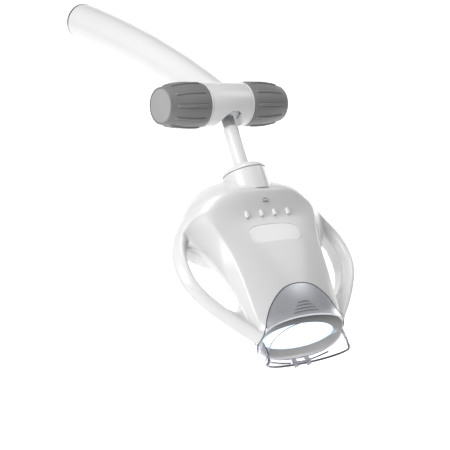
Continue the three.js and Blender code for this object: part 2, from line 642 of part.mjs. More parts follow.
function labelOutline(margin) {
  const [halfWidth, halfHeight] = [label.halfWidth + margin, label.halfHeight + margin];
  const inner = halfWidth - label.corner;
  return [
    [-inner, -halfHeight], [inner, -halfHeight], [halfWidth, -halfHeight + label.corner / 2],
    [halfWidth, 0], [inner, halfHeight - label.corner / 2], [inner / 2, halfHeight],
    [-inner / 2, halfHeight], [-inner, halfHeight - label.corner / 2], [-halfWidth, 0],
    [-halfWidth, -halfHeight + label.corner / 2],
  ].map(([x, height]) => [x, height - label.drop]);
}

function postsAt(places, near, far) {
  const kept = headForm(post.skin);
  return union(places.map(([x, drop]) => solid(rod(post.radius, -far, -near, tinySteps).rotateX(Math.PI / 2)
    .translate(x, 0, -drop)))).intersect(kept);
}

const cornersOf = ({ halfWidth, top, bottom }) => sides.flatMap(([, side]) => [
  [side * (halfWidth - post.inset), top + post.inset], [side * (halfWidth - post.inset), bottom - post.inset],
]);
const screwPlaces = sides.flatMap(([, side]) => screwShares.map(([across, down]) => [
  side * across * head.halfWidth, dropAt(down),
]));
const across = (geometry, x, drop) => geometry.rotateX(Math.PI / 2).translate(x, 0, -drop);
const boardDepth = keyMat.depth + keyMat.thickness + gap;

function neckCutter() {
  return solid(rod(neck.radius + gap, -collarTop - neck.length - gap, 0, roundSteps).rotateX(neckRake));
}

function shellBlank() {
  const holes = union(sides.map(([, side]) => handHoleCutter(side)));
  return headForm().subtract(bodyHollow()).subtract(holes).subtract(neckCutter());
}

function screwBosses(near, far) {
  const kept = headForm(post.skin);
  return union(screwPlaces.map(([x, drop]) => solid(across(rod(screw.boss, -far, -near, tinySteps), x, drop)))).intersect(kept);
}

function buildFrontShell() {
  const split = head.partingDepth - gap / 2;
  const keyHoles = keys.places.map((x) => solid(plate(
    stadium(keys.width + 2 * gap, keys.length + 2 * gap, x, keys.drop), -farOut, split,
  )));
  const indicatorHole = solid(plate(
    stadium(indicator.width + 2 * gap, indicator.height + 2 * gap, 0, indicator.drop), -farOut, split,
  ));
  const labelPocket = solid(plate(labelOutline(gap), -farOut, split))
    .subtract(headForm(label.recess + label.thickness + gap));
  const screwHoles = screwPlaces.map(([x, drop]) => solid(across(
    rod(screw.radius + gap, -split - overrun, screw.grip + overrun - split, tinySteps), x, drop,
  )));
  return shellBlank()
    .add(screwBosses(-farOut, split))
    .add(postsAt(cornersOf(controlBoard), -farOut, boardDepth - gap))
    .intersect(frontSide(split))
    .subtract(hoodRegion(gap))
    .subtract(union([...keyHoles, indicatorHole, labelPocket, ...screwHoles]));
}

function buildRearShell() {
  const split = head.partingDepth + gap / 2;
  const slots = Array.from({ length: vent.slots }, (_, number) => {
    const middle = -vent.drop + (number - (vent.slots - 1) / 2) * vent.pitch;
    return solid(boxBetween(
      [-vent.halfWidth, driverBoard.depth + driverBoard.thickness, middle - vent.slot / 2],
      [vent.halfWidth, farOut, middle + vent.slot / 2],
    ));
  });
  const rails = sides.map(([, side]) => solid(boxBetween(
    [side * rail.spread - rail.width / 2, heatSink.rear + gap, -rail.bottom],
    [side * rail.spread + rail.width / 2, farOut, -rail.top],
  )));
  const seat = split + screw.seat;
  const counterbores = screwPlaces.flatMap(([x, drop]) => [
    solid(across(rod(screw.radius + gap, -seat - overrun, overrun - split, tinySteps), x, drop)),
    solid(across(rod(screw.headRadius + gap, -farOut, -seat, tinySteps), x, drop)),
  ]);
  return shellBlank()
    .add(screwBosses(split, farOut))
    .add(union(rails).intersect(headForm(post.skin)))
    .add(postsAt(cornersOf(driverBoard), driverBoard.depth + driverBoard.thickness + gap, farOut))
    .intersect(rearSide(split))
    .subtract(hoodRegion(gap))
    .subtract(union([...slots, ...counterbores]));
}

// The nose: silver hood, light source behind it, and the clear guide that slips over it
function buildHood() {
  const { diffuserFace } = lightStack;
  const pocket = [port.seatHalfWidth + port.ledge, port.seatHalfHeight + port.ledge, port.seatFall];
  const throat = portLoft([
    [port.halfWidth, port.halfHeight, 0, -overrun], [port.halfWidth, port.halfHeight, 0, 0],
    [port.seatHalfWidth, port.seatHalfHeight, port.seatFall, port.recess],
    [port.seatHalfWidth, port.seatHalfHeight, port.seatFall, diffuserFace],
  ]);
  return headForm()
    .intersect(hoodRegion(0))
    .intersect(behindPort(0))
    .subtract(bodyHollow().intersect(behindPort(port.rim)))
    .subtract(throat)
    .subtract(portLoft([[...pocket, port.recess], [...pocket, port.rim + overrun]]));
}

function buildReflector() {
  const { reflectorFace } = lightStack;
  const end = reflectorFace + reflector.length;
  const front = [port.seatHalfWidth, port.seatHalfHeight, port.seatFall];
  const back = [reflector.backHalfWidth, reflector.backHalfHeight, reflector.backFall];
  const shrunk = ([a, b, fall]) => [a - reflector.wall, b - reflector.wall, fall];
  const slope = (from, to, share) => from.map((value, number) => lerp(value, to[number], share));
  const past = overrun / reflector.length;
  return portLoft([[...front, reflectorFace], [...back, end]]).subtract(portLoft([
    [...slope(shrunk(front), shrunk(back), -past), reflectorFace - overrun],
    [...slope(shrunk(front), shrunk(back), 1 + past), end + overrun],
  ]));
}

function buildHeatSink() {
  const { sinkFace } = lightStack;
  const onFace = (fall) => [
    port.drop + fall * Math.sin(port.tilt) - sinkFace * Math.cos(port.tilt),
    port.depth + fall * Math.cos(port.tilt) + sinkFace * Math.sin(port.tilt),
  ];
  const upper = onFace(reflector.backFall - ledBoard.halfHeight);
  const lower = onFace(reflector.backFall + ledBoard.halfHeight - heatSink.base);
  const profile = [
    [heatSink.top, heatSink.front], [heatSink.bottom, heatSink.front], upper, lower,
    [lower[0] - heatSink.base, heatSink.rear], [heatSink.top, heatSink.rear],
  ];
  const outline = new THREE.Shape(profile.map(([drop, depth]) => new THREE.Vector2(depth, -drop)));
  const body = solid(new THREE.ExtrudeGeometry(outline, { depth: 2 * heatSink.halfWidth, bevelEnabled: false })
    .applyMatrix4(new THREE.Matrix4().makeBasis(
      new THREE.Vector3(0, 1, 0), new THREE.Vector3(0, 0, 1), new THREE.Vector3(1, 0, 0),
    )).translate(-heatSink.halfWidth, 0, 0));
  const pitch = (2 * heatSink.halfWidth - heatSink.fin) / (heatSink.fins - 1);
  const channels = Array.from({ length: heatSink.fins - 1 }, (_, number) => {
    const left = -heatSink.halfWidth + heatSink.fin + number * pitch;
    return solid(boxBetween(
      [left, heatSink.front - overrun, -heatSink.bottom],
      [left + pitch - heatSink.fin, heatSink.rear - heatSink.base, overrun - heatSink.top],
    ));
  });
  return body.subtract(union(channels));
}

function buildChips() {
  const { boardFace } = lightStack;
  const chips = [];
  for (let row = 0; row < chip.rows; row += 1) {
    for (let column = 0; column < chip.columns; column += 1) {
      const x = (column - (chip.columns - 1) / 2) * chip.pitch;
      const fall = reflector.backFall + (row - (chip.rows - 1) / 2) * chip.rowPitch;
      chips.push(solid(inPort(boxBetween(
        [x - chip.size / 2, fall - chip.size / 2, boardFace - chip.height],
        [x + chip.size / 2, fall + chip.size / 2, boardFace + ledBoard.thickness / 2],
      ))));
    }
  }
  return union(chips);
}

function buildGuide() {
  const skin = headForm(-guide.clearance - guide.wall).subtract(headForm(-guide.clearance));
  const lip = solid(boxBetween([-farOut, -farOut, -guide.lipDrop], [farOut, 2 * farOut, 0]));
  const slope = Math.atan2(guide.sideDepth - guide.crownDepth, guide.sideDrop - guide.crownDrop);
  const mouth = solid(boxBetween([-farOut, -farOut, -2 * farOut], [farOut, 0, farOut / 2])
    .rotateX(slope)
    .translate(0, guide.crownDepth, -guide.crownDrop));
  const top = solid(boxBetween([-farOut, -farOut, -guide.crownDrop], [farOut, 2 * farOut, 0]));
  const floor = head.partingDepth + head.rear * sectionShares.at(-1)[3] + guide.clearance + clip.sink;
  const fins = sides.map(([, side]) => solid(boxBetween(
    [side * clip.spread - clip.width / 2, floor - clip.height, -guide.lipDrop - clip.hook],
    [side * clip.spread + clip.width / 2, floor, -guide.lipDrop - clip.hook + clip.length],
  )));
  const bar = solid(boxBetween(
    [-clip.spread, floor - clip.height, -guide.lipDrop],
    [clip.spread, floor - clip.height + clip.bar, -guide.lipDrop + clip.bar],
  ));
  const band = solid(inPort(boxBetween([-farOut, -farOut, -farOut], [farOut, farOut, guide.overlap])));
  return skin.intersect(hoodRegion(0)).intersect(band).intersect(lip).subtract(mouth.subtract(top))
    .add(union([...fins, bar]));
}

function addLight(parent) {
  const { diffuserFace, boardFace } = lightStack;
  const lens = [port.seatHalfWidth + port.ledge - gap, port.seatHalfHeight + port.ledge - gap, port.seatFall];
  addNode(parent, 'silver_hood', buildHood(), satinSilver);
  addNode(parent, 'light_diffuser',
    portLoft([[...lens, diffuserFace], [...lens, diffuserFace + diffuser.thickness]]), diffuserWhite);
  addNode(parent, 'light_reflector', buildReflector(), satinSilver);
  addNode(parent, 'led_board', solid(inPort(boxBetween(
    [-ledBoard.halfWidth, reflector.backFall - ledBoard.halfHeight, boardFace],
    [ledBoard.halfWidth, reflector.backFall + ledBoard.halfHeight, boardFace + ledBoard.thickness],
  ))).add(buildChips()), whitePlastic);
  addNode(parent, 'heat_sink', buildHeatSink(), aluminium);
  addNode(parent, 'light_guide', buildGuide(), clearPlastic);
}

// Keys, indicator and the boards behind them
function addControls(parent) {
  keys.places.forEach((x, number) => {
    const face = faceDepth(x, keys.drop);
    const cap = solid(plate(stadium(keys.width, keys.length, x, keys.drop), face - keys.proud, keyEnd));
    const flange = solid(plate(
      stadium(keys.width + 2 * keys.flange, keys.length + 2 * keys.flange, x, keys.drop),
      keyEnd - keys.flangeThickness, keyEnd,
    ));
    addNode(parent, `key_${number + 1}`, cap.add(flange), whitePlastic);
  });
  const indicatorFace = faceDepth(0, indicator.drop) - indicator.proud;
  addNode(parent, 'status_indicator', solid(plate(
    stadium(indicator.width, indicator.height, 0, indicator.drop), indicatorFace, boardDepth - gap,
  )), clearPlastic);
  addNode(parent, 'label_plate', headForm(label.recess)
    .subtract(headForm(label.recess + label.thickness))
    .intersect(solid(plate(labelOutline(0), -farOut, head.partingDepth / 2))), whitePlastic);
  addNode(parent, 'key_mat', solid(boxBetween(
    [-keyMat.halfWidth, keyMat.depth, -keyMat.bottom],
    [keyMat.halfWidth, keyMat.depth + keyMat.thickness, -keyMat.top],
  )), silicone);
  addNode(parent, 'control_board', solid(boxBetween(
    [-controlBoard.halfWidth, boardDepth, -controlBoard.bottom],
    [controlBoard.halfWidth, boardDepth + controlBoard.thickness, -controlBoard.top],
  )), boardGreen);
  const parts = Array.from({ length: driverPart.columns }, (_, number) => {
    const x = (number - (driverPart.columns - 1) / 2) * driverPart.pitch;
    const middle = -(driverBoard.top + driverBoard.bottom) / 2;
    return solid(boxBetween(
      [x - driverPart.width / 2, driverBoard.depth - driverPart.depth, middle - driverPart.height],
      [x + driverPart.width / 2, driverBoard.depth + driverBoard.thickness / 2, middle + driverPart.height],
    ));
  });
  addNode(parent, 'driver_board', solid(boxBetween(
    [-driverBoard.halfWidth, driverBoard.depth, -driverBoard.bottom],
    [driverBoard.halfWidth, driverBoard.depth + driverBoard.thickness, -driverBoard.top],
  )).add(union(parts)), boardGreen);
}

function addFan(parent) {
  const bottom = -fan.top - fan.length;
  const frame = solid(boxBetween(
    [-fan.half, fan.depth - fan.half, bottom], [fan.half, fan.depth + fan.half, -fan.top],
  ));
  const throat = solid(rod(fan.throat, bottom - overrun, overrun - fan.top, smallSteps).translate(0, fan.depth, 0));
  const seat = solid(rod(fan.hubRadius, bottom, bottom + fan.strut).translate(0, fan.depth, 0));
  const strut = (angle) => solid(boxBetween(
    [-fan.throat - fan.strut, -fan.strut / 2, bottom], [fan.throat + fan.strut, fan.strut / 2, bottom + fan.strut],
  ).rotateZ(angle).translate(0, fan.depth, 0));
  addNode(parent, 'fan_frame', frame.subtract(throat).add(union([seat, strut(0), strut(Math.PI / 2)])), blackPlastic);

  const floor = bottom + fan.strut + gap;
  const height = -fan.top - gap - floor;
  const blades = Array.from({ length: fan.blades }, (_, number) => {
    const blade = new THREE.BoxGeometry(fan.bladeRadius - fan.hubRadius / 2, fan.bladeThickness, height);
    const lean = blade.rotateX(fan.bladePitch).translate((fan.bladeRadius + fan.hubRadius / 2) / 2, 0, floor + height / 2);
    return solid(lean.rotateZ(number / fan.blades * 2 * Math.PI));
  });
  const core = solid(rod(fan.hubRadius, floor, floor + height));
  const band = solid(rod(fan.bladeRadius, floor, floor + height, smallSteps));
  addNode(parent, 'fan_rotor', union([core, ...blades]).intersect(band).translate([0, fan.depth, 0]), blackPlastic);
}

function addHead(parent) {
  addNode(parent, 'front_shell', buildFrontShell(), whitePlastic);
  addNode(parent, 'rear_shell', buildRearShell(), whitePlastic);
  addControls(parent);
  addFan(parent);
  addLight(parent);
  const split = head.partingDepth + gap / 2;
  const seat = split + screw.seat + gap;
  screwPlaces.forEach(([x, drop], number) => addNode(parent, `shell_screw_${number + 1}`, solid(across(turned([
    [0, -seat - screw.headLength], [screw.headRadius, -seat - screw.headLength], [screw.headRadius, -seat],
    [screw.radius, -seat], [screw.radius, screw.grip - split], [0, screw.grip - split],
  ], tinySteps), x, drop)), steel));
}

function buildCollar() {
  const { shelfTop } = swivelStack;
  const inner = neck.radius - neck.wall;
  const bottom = collarTop + neck.length;
  return solid(turned([
    [inner, -collarTop], [inner, -shelfTop], [neck.shelfHole, -shelfTop], [neck.shelfHole, -shelfTop - neck.shelf],
    [inner, -shelfTop - neck.shelf], [inner, -bottom], [neck.radius, -bottom], [neck.radius, -collarTop],
    [inner, -collarTop],
  ]));
}

// The part's origin is the middle of the flange at the arm's root
const lamp = new THREE.Group();
const fixed = new THREE.Group();
const rootTangent = armCurve.getTangent(1);
const rootFace = armCurve.getPoint(1).addScaledVector(rootTangent, gap + rootInsert.flange);
fixed.position.copy(rootFace).negate();
lamp.add(fixed);
addHub(fixed);

const tilting = new THREE.Group();
tilting.rotation.x = -stemTilt;
fixed.add(tilting);
addStem(tilting);
addNode(tilting, 'neck_collar', buildCollar(), whitePlastic);

const headFrame = new THREE.Group();
headFrame.rotation.x = -neckRake;
tilting.add(headFrame);
addHead(headFrame);

export default lamp;
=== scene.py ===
"""Teeth whitening lamp: the fine surface of the head, its stem, the friction hub and the arm.

Sizes are in millimetres until a piece is placed. The head's own frame has x across, y into the head from
its face and z up, so a place on it is given by x, a depth and a drop below the hub's axis.
"""

from __future__ import annotations

import logging
import math
from collections.abc import Callable, Sequence
from dataclasses import dataclass, field
from enum import Enum

import bmesh
import bpy
from mathutils import Matrix, Vector

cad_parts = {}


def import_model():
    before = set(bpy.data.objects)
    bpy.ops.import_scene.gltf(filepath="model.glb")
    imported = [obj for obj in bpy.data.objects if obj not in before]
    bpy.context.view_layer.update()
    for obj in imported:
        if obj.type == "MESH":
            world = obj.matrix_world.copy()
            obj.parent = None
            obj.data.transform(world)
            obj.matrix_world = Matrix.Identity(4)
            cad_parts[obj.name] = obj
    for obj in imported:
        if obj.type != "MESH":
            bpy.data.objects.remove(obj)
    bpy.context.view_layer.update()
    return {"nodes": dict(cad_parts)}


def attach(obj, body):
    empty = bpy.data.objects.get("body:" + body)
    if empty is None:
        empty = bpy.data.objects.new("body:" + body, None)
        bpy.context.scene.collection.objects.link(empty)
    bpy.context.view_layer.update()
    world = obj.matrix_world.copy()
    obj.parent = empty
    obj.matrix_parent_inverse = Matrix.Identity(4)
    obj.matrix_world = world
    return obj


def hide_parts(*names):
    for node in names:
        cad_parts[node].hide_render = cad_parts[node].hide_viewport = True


LOG = logging.getLogger("whitening_lamp")
MM = 0.001
Pair = tuple[float, float]
Mesh = bmesh.types.BMesh


class Body(Enum):
    """The rigid bodies that pieces ride on."""

    ARM = "arm"
    LEFT_KNOB = "left_tension_knob"
    RIGHT_KNOB = "right_tension_knob"
    STEM = "stem"
    HEAD = "head"
    GUIDE = "slip_on_guide"


class Cut(Enum):
    """How one solid changes another."""

    TAKE = "DIFFERENCE"
    KEEP = "INTERSECT"
    JOIN = "UNION"


class Slot(Enum):
    """The record's finishes."""

    WHITE = "white_plastic"
    GRIP = "grey_grip"
    CAP = "grey_cap"
    STEEL = "steel"
    BRASS = "brass"
    SILVER = "satin_silver"
    CLEAR = "clear_plastic"
    LENS = "diffuser_white"
    BOARD = "board_green"
    CHIPS = "board_white"
    BLACK = "black_plastic"
    ALUMINIUM = "aluminium"
    SILICONE = "silicone"
    FIBRE = "friction_fibre"


@dataclass
class Graph:
    """The nodes of one material."""

    made: bpy.types.Material

    @classmethod
    def begun(cls, name: str, values: dict[str, object]) -> Graph:
        """Starts a new material.

        Args:
            name: Its name.
            values: The values of its surface shader.

        Returns:
            Its graph.
        """
        graph = cls(bpy.data.materials.new(name))
        graph.made.use_nodes = True
        for key, value in values.items():
            graph.shader.inputs[key].default_value = value
        return graph

    @property
    def shader(self) -> bpy.types.Node:
        """The material's surface shader."""
        return self.made.node_tree.nodes["Principled BSDF"]

    def node(self, kind: str, values: dict[str | int, object] | None = None, **modes: str) -> bpy.types.Node:
        """Adds a node.

        Args:
            kind: Its type.
            values: The values of its inputs, by name or number.
            modes: Its modes, by name.

        Returns:
            The node.
        """
        made = self.made.node_tree.nodes.new(f"ShaderNode{kind}")
        for key, mode in modes.items():
            setattr(made, key, mode)
        for key, value in (values or {}).items():
            made.inputs[key].default_value = value
        return made

    def ramp(self, *stops: tuple[float, Sequence[float]]) -> bpy.types.Node:
        """Adds a colour ramp.

        Args:
            stops: Two positions with their colours.

        Returns:
            The node.
        """
        made = self.node("ValToRGB")
        for element, (position, colour) in zip(made.color_ramp.elements, stops):
            element.position = position
            element.color = (*colour, 1.0)
        return made

    def link(self, source: bpy.types.Node, out: str, target: bpy.types.Node, into: str | int) -> None:
        """Links two nodes.

        Args:
            source: The node that gives.
            out: Its output.
            target: The node that takes.
            into: Its input.
        """
        self.made.node_tree.links.new(source.outputs[out], target.inputs[into])


@dataclass(frozen=True)
class Finish:
    """A surface finish: its colour with soft mottling, its gloss and the fine grain of its skin."""

    slot: Slot
    colour: tuple[float, float, float]
    roughness: float
    metallic: float = 0.0
    mottle: float = 0.03
    mottle_scale: float = 40.0
    grain: float = 0.08
    grain_scale: float = 1400.0
    gloss_spread: float = 0.05
    coat: float = 0.0
    stretch: tuple[float, float, float] = (1.0, 1.0, 1.0)
    edge_lightening: float = 0.0

    def material(self, variant: str = "") -> bpy.types.Material:
        """Builds the node material for this finish.

        Args:
            variant: What sets it apart from another finish of the same slot.

        Returns:
            The finished material.
        """
        name = f"{self.slot.value}_{variant or 'finish'}"
        found = bpy.data.materials.get(name)
        if found:
            return found
        graph = Graph.begun(name, {
            "Metallic": self.metallic, "Coat Weight": self.coat, "Coat Roughness": 0.12,
        })
        spot = graph.node("TexCoord")
        turn = graph.node("Mapping", {"Scale": self.stretch})
        graph.link(spot, "Object", turn, "Vector")

        cloud = graph.node("TexNoise", {"Scale": self.mottle_scale, "Detail": 4.0})
        graph.link(turn, "Vector", cloud, "Vector")
        tint = graph.ramp((0.35, [channel * (1.0 - self.mottle) for channel in self.colour]),
                          (0.65, self.colour))
        graph.link(cloud, "Fac", tint, "Fac")
        # Lighter colour on sharp edges, found by pointiness.
        if self.edge_lightening > 0.0:
            self._lighten_edges(graph, tint)
        else:
            graph.link(tint, "Color", graph.shader, "Base Color")

        spread = graph.node("MapRange", {
            "To Min": max(0.02, self.roughness - self.gloss_spread),
            "To Max": self.roughness + self.gloss_spread,
        })
        graph.link(cloud, "Fac", spread, "Value")
        graph.link(spread, "Result", graph.shader, "Roughness")

        skin = graph.node("TexNoise", {"Scale": self.grain_scale, "Detail": 3.0})
        graph.link(turn, "Vector", skin, "Vector")
        relief = graph.node("Bump", {"Strength": self.grain, "Distance": 0.0002})
        graph.link(skin, "Fac", relief, "Height")
        graph.link(relief, "Normal", graph.shader, "Normal")
        return graph.made

    def _lighten_edges(self, graph: Graph, tint: bpy.types.Node) -> None:
        """Lightens the colour on sharp edges.

        Args:
            graph: The material's graph.
            tint: The node that gives the colour.
        """
        form = graph.node("NewGeometry")
        mask = graph.node("MapRange", {"From Min": 0.52, "From Max": 0.62, "To Max": self.edge_lightening})
        graph.link(form, "Pointiness", mask, "Value")
        light = [min(1.0, channel * 1.6 + 0.05) for channel in self.colour]
        blend = graph.node("Mix", {"B": (*light, 1.0)}, data_type="RGBA")
        graph.link(mask, "Result", blend, "Factor")
        graph.link(tint, "Color", blend, "A")
        graph.link(blend, "Result", graph.shader, "Base Color")


@dataclass(frozen=True)
class ClearFinish:
    """Clear moulded plastic, faintly tinted."""

    tint: tuple[float, float, float] = (0.90, 0.91, 1.0)
    cover: float = 0.38
    roughness: float = 0.03

    def material(self) -> bpy.types.Material:
        """Builds the clear material.

        Returns:
            The finished material.
        """
        found = bpy.data.materials.get("clear_plastic_finish")
        if found:
            return found
        graph = Graph.begun("clear_plastic_finish", {
            "Base Color": (*self.tint, 1.0), "Alpha": self.cover, "Transmission Weight": 1.0, "IOR": 1.46,
        })
        spot = graph.node("TexCoord")
        flow = graph.node("TexNoise", {"Scale": 60.0})
        graph.link(spot, "Object", flow, "Vector")
        spread = graph.node("MapRange", {"To Min": self.roughness * 0.5, "To Max": self.roughness * 1.6})
        graph.link(flow, "Fac", spread, "Value")
        graph.link(spread, "Result", graph.shader, "Roughness")
        relief = graph.node("Bump", {"Strength": 0.05, "Distance": 0.0004})
        graph.link(flow, "Fac", relief, "Height")
        graph.link(relief, "Normal", graph.shader, "Normal")
        return graph.made


@dataclass(frozen=True)
class GlowFinish:
    """The lit frosted lens: white in the middle and pale blue towards its edge."""

    middle: tuple[float, float, float] = (1.0, 1.0, 1.0)
    edge: tuple[float, float, float] = (0.50, 0.72, 1.0)
    strength: float = 1.45

    def material(self, centre: Vector, across: float, up: float, tilt: float) -> bpy.types.Material:
        """Builds the lit material.

        Args:
            centre: The middle of the lens, in metres.
            across: The lens's half-width, in metres.
            up: The lens's half-height, in metres.
            tilt: How far the lens is turned about X from facing along -Y, in radians.

        Returns:
            The finished material.
        """
        graph = Graph.begun("lens_glow_finish", {"Base Color": (0.93, 0.96, 1.0, 1.0), "Roughness": 0.35})
        spot = graph.node("TexCoord")
        shift = graph.node("VectorMath", {1: centre}, operation="SUBTRACT")
        graph.link(spot, "Object", shift, 0)
        turn = graph.node("VectorRotate", {"Angle": -tilt}, rotation_type="X_AXIS")
        graph.link(shift, "Vector", turn, "Vector")
        scale = graph.node("VectorMath", {1: (1.0 / across, 0.0, 1.0 / up)}, operation="MULTIPLY")
        graph.link(turn, "Vector", scale, 0)
        reach = graph.node("VectorMath", operation="LENGTH")
        graph.link(scale, "Vector", reach, 0)
        ramp = graph.ramp((0.55, self.middle), (0.94, self.edge))
        graph.link(reach, "Value", ramp, "Fac")
        graph.link(ramp, "Color", graph.shader, "Emission Color")
        fall = graph.node("MapRange", {
            "From Min": 0.5, "From Max": 1.02, "To Min": self.strength, "To Max": self.strength * 0.55,
        })
        graph.link(reach, "Value", fall, "Value")
        graph.link(fall, "Result", graph.shader, "Emission Strength")
        return graph.made


WHITE = Finish(Slot.WHITE, (0.80, 0.80, 0.80), 0.30, mottle=0.015, grain=0.05, coat=0.25)
GRIP = Finish(Slot.GRIP, (0.23, 0.23, 0.235), 0.48, mottle=0.08, grain=0.25, grain_scale=1800.0,
              edge_lightening=0.35)
CAP = Finish(Slot.CAP, (0.38, 0.38, 0.385), 0.42, mottle=0.06, grain=0.2, grain_scale=1600.0)
STEEL = Finish(Slot.STEEL, (0.42, 0.43, 0.44), 0.34, metallic=0.9, mottle=0.05, grain=0.12, stretch=(1, 1, 8))
BRASS = Finish(Slot.BRASS, (0.60, 0.44, 0.18), 0.30, metallic=1.0, mottle=0.08, grain=0.1)
SILVER = Finish(Slot.SILVER, (0.76, 0.78, 0.83), 0.30, metallic=0.6, mottle=0.02, grain=0.01, coat=0.3)
BOARD = Finish(Slot.BOARD, (0.03, 0.16, 0.06), 0.45, mottle=0.25, mottle_scale=300.0, coat=0.3)
CHIPS = Finish(Slot.CHIPS, (0.78, 0.78, 0.74), 0.40, mottle=0.1, mottle_scale=220.0)
BLACK = Finish(Slot.BLACK, (0.02, 0.02, 0.021), 0.5, mottle=0.2, grain=0.3)
ALUMINIUM = Finish(Slot.ALUMINIUM, (0.62, 0.63, 0.64), 0.36, metallic=1.0, mottle=0.05, stretch=(6, 1, 1))
SILICONE = Finish(Slot.SILICONE, (0.35, 0.36, 0.38), 0.62, mottle=0.06, grain=0.2)
FIBRE = Finish(Slot.FIBRE, (0.16, 0.11, 0.07), 0.75, mottle=0.35, mottle_scale=500.0, grain=0.5)
# Painted shade: the dark colour of the guide's clear rim and slit edges, where clear plastic bends the light
# away.
RIM_PAINTED_SHADE = Finish(Slot.CLEAR, (0.10, 0.10, 0.14), 0.12, mottle=0.5, mottle_scale=90.0, grain=0.02, coat=1.0)
# The mouth's inner wall; shade_throat paints shade into it, darker towards its top.
THROAT = Finish(Slot.SILVER, (0.92, 0.90, 0.89), 0.36, metallic=0.15, mottle=0.04, grain=0.02)
# The grip ridges are real; their dark grey is painted shade where each ridge shades the silver beside it.
RIDGE_PAINTED_SHADE = Finish(Slot.SILVER, (0.24, 0.25, 0.27), 0.36, metallic=0.45, mottle=0.04, grain=0.02)
# Painted highlight: the bright line along the clear guide's arched front edge.
BEAD_PAINTED_HIGHLIGHT = Finish(Slot.CLEAR, (0.42, 0.50, 0.60), 0.2, mottle=0.03, grain=0.02, coat=0.6)
SEAL = Finish(Slot.BLACK, (0.07, 0.07, 0.08), 0.4, mottle=0.1, grain=0.05)
FROSTED = Finish(Slot.CLEAR, (0.36, 0.36, 0.41), 0.18, mottle=0.04, grain=0.03, coat=0.6)
LABEL = Finish(Slot.WHITE, (0.87, 0.87, 0.88), 0.22, mottle=0.01, grain=0.03, coat=0.5)
CLEAR = ClearFinish()
GLOW = GlowFinish()


def paint_shade_upwards(made: bpy.types.Material, low: float, high: float, share: float) -> None:
    """Paints shade into a finish: darker towards its top, where the mouth's inner wall sees no light.

    Args:
        made: The material to change.
        low: The height, in metres, up to which the colour stays.
        high: The height at which it is darkest.
        share: What is left of the colour there.
    """
    graph = Graph(made)
    colour = graph.shader.inputs["Base Color"].links[0].from_socket
    spot, split = graph.node("TexCoord"), graph.node("SeparateXYZ")
    graph.link(spot, "Object", split, "Vector")
    fade = graph.node("MapRange", {"From Min": low, "From Max": high, "To Min": 1.0, "To Max": share})
    graph.link(split, "Z", fade, "Value")
    scaled = graph.node("VectorMath", operation="SCALE")
    made.node_tree.links.new(colour, scaled.inputs[0])
    graph.link(fade, "Result", scaled, "Scale")
    graph.link(scaled, "Vector", graph.shader, "Base Color")


def crosswise(offset: float) -> Matrix:
    """Turns what is built along Z to lie along X.

    Args:
        offset: How far along X its middle comes to lie.

    Returns:
        The matrix that does it.
    """
    return Matrix.Translation((offset, 0, 0)) @ Matrix.Rotation(math.pi / 2, 4, "Y")


def turn_x(angle: float, around: Vector) -> Matrix:
    """A frame at a point, turned about X.

    Args:
        angle: The turn, in degrees.
        around: The point, in millimetres.

    Returns:
        The matrix that turns by that angle and then moves the origin to the point.
    """
    return Matrix.Translation(around) @ Matrix.Rotation(math.radians(angle), 4, "X")


@dataclass(frozen=True)
class Stance:
    """Where the lamp's parts stand in the row frame."""

    hub: Vector = field(default_factory=lambda: Vector((0.0, -265.213, -89.751)))
    barrel_offset: float = -3.0
    stem_tilt: float = 27.0
    head_rake: float = 10.0

    @property
    def barrel(self) -> Matrix:
        """The hub's barrel, with z along the row's X."""
        spin = Matrix.Rotation(math.radians(90), 4, "Y")
        return Matrix.Translation(self.hub + Vector((self.barrel_offset, 0, 0))) @ spin

    @property
    def arm(self) -> Matrix:
        """The arm, from the hub's axis."""
        return Matrix.Translation(self.hub)

    @property
    def stem(self) -> Matrix:
        """The stem, with z up along it."""
        return turn_x(-self.stem_tilt, self.hub)

    @property
    def head(self) -> Matrix:
        """The head, with z up its face."""
        return turn_x(-self.stem_tilt - self.head_rake, self.hub)


STANCE = Stance()


def face_outwards(bm: Mesh) -> None:
    """Points the faces of a closed mesh outwards."""
    bm.normal_update()
    bmesh.ops.recalc_face_normals(bm, faces=bm.faces)


def soften(bm: Mesh, edges: Sequence[bmesh.types.BMEdge], offset: float, segments: int) -> None:
    """Rounds some of a mesh's edges.

    Args:
        bm: The mesh.
        edges: The edges to round.
        offset: How far the rounding reaches from each.
        segments: How many spans it has.
    """
    bmesh.ops.bevel(bm, geom=list(edges), offset=offset, segments=segments, profile=0.5, affect="EDGES",
                    material=-1)


def settle(bm: Mesh, sharp: float = 32.0) -> None:
    """Merges doubles, points the faces outwards and shades smooth except over sharp edges.

    Args:
        bm: The mesh.
        sharp: The angle in degrees from which an edge stays sharp.
    """
    bmesh.ops.remove_doubles(bm, verts=bm.verts, dist=1e-5)
    bmesh.ops.dissolve_degenerate(bm, dist=1e-6, edges=bm.edges)
    face_outwards(bm)
    for face in bm.faces:
        face.smooth = True
    for edge in bm.edges:
        edge.smooth = edge.calc_face_angle(0.0) < math.radians(sharp)


def as_object(name: str, bm: Mesh) -> bpy.types.Object:
    """Makes an object of a mesh and frees it.

    Args:
        name: The object's name.
        bm: The mesh.

    Returns:
        The object, linked to the scene.
    """
    data = bpy.data.meshes.new(name)
    bm.to_mesh(data)
    bm.free()
    made = bpy.data.objects.new(name, data)
    bpy.context.scene.collection.objects.link(made)
    return made


def applied(thing: bpy.types.Object) -> Mesh:
    """Applies an object's modifiers and removes the object.

    Args:
        thing: The object.

    Returns:
        The resulting mesh.
    """
    shown = thing.evaluated_get(bpy.context.evaluated_depsgraph_get())
    bm = bmesh.new()
    bm.from_mesh(shown.to_mesh())
    shown.to_mesh_clear()
    data = thing.data
    bpy.data.objects.remove(thing)
    bpy.data.meshes.remove(data)
    return bm


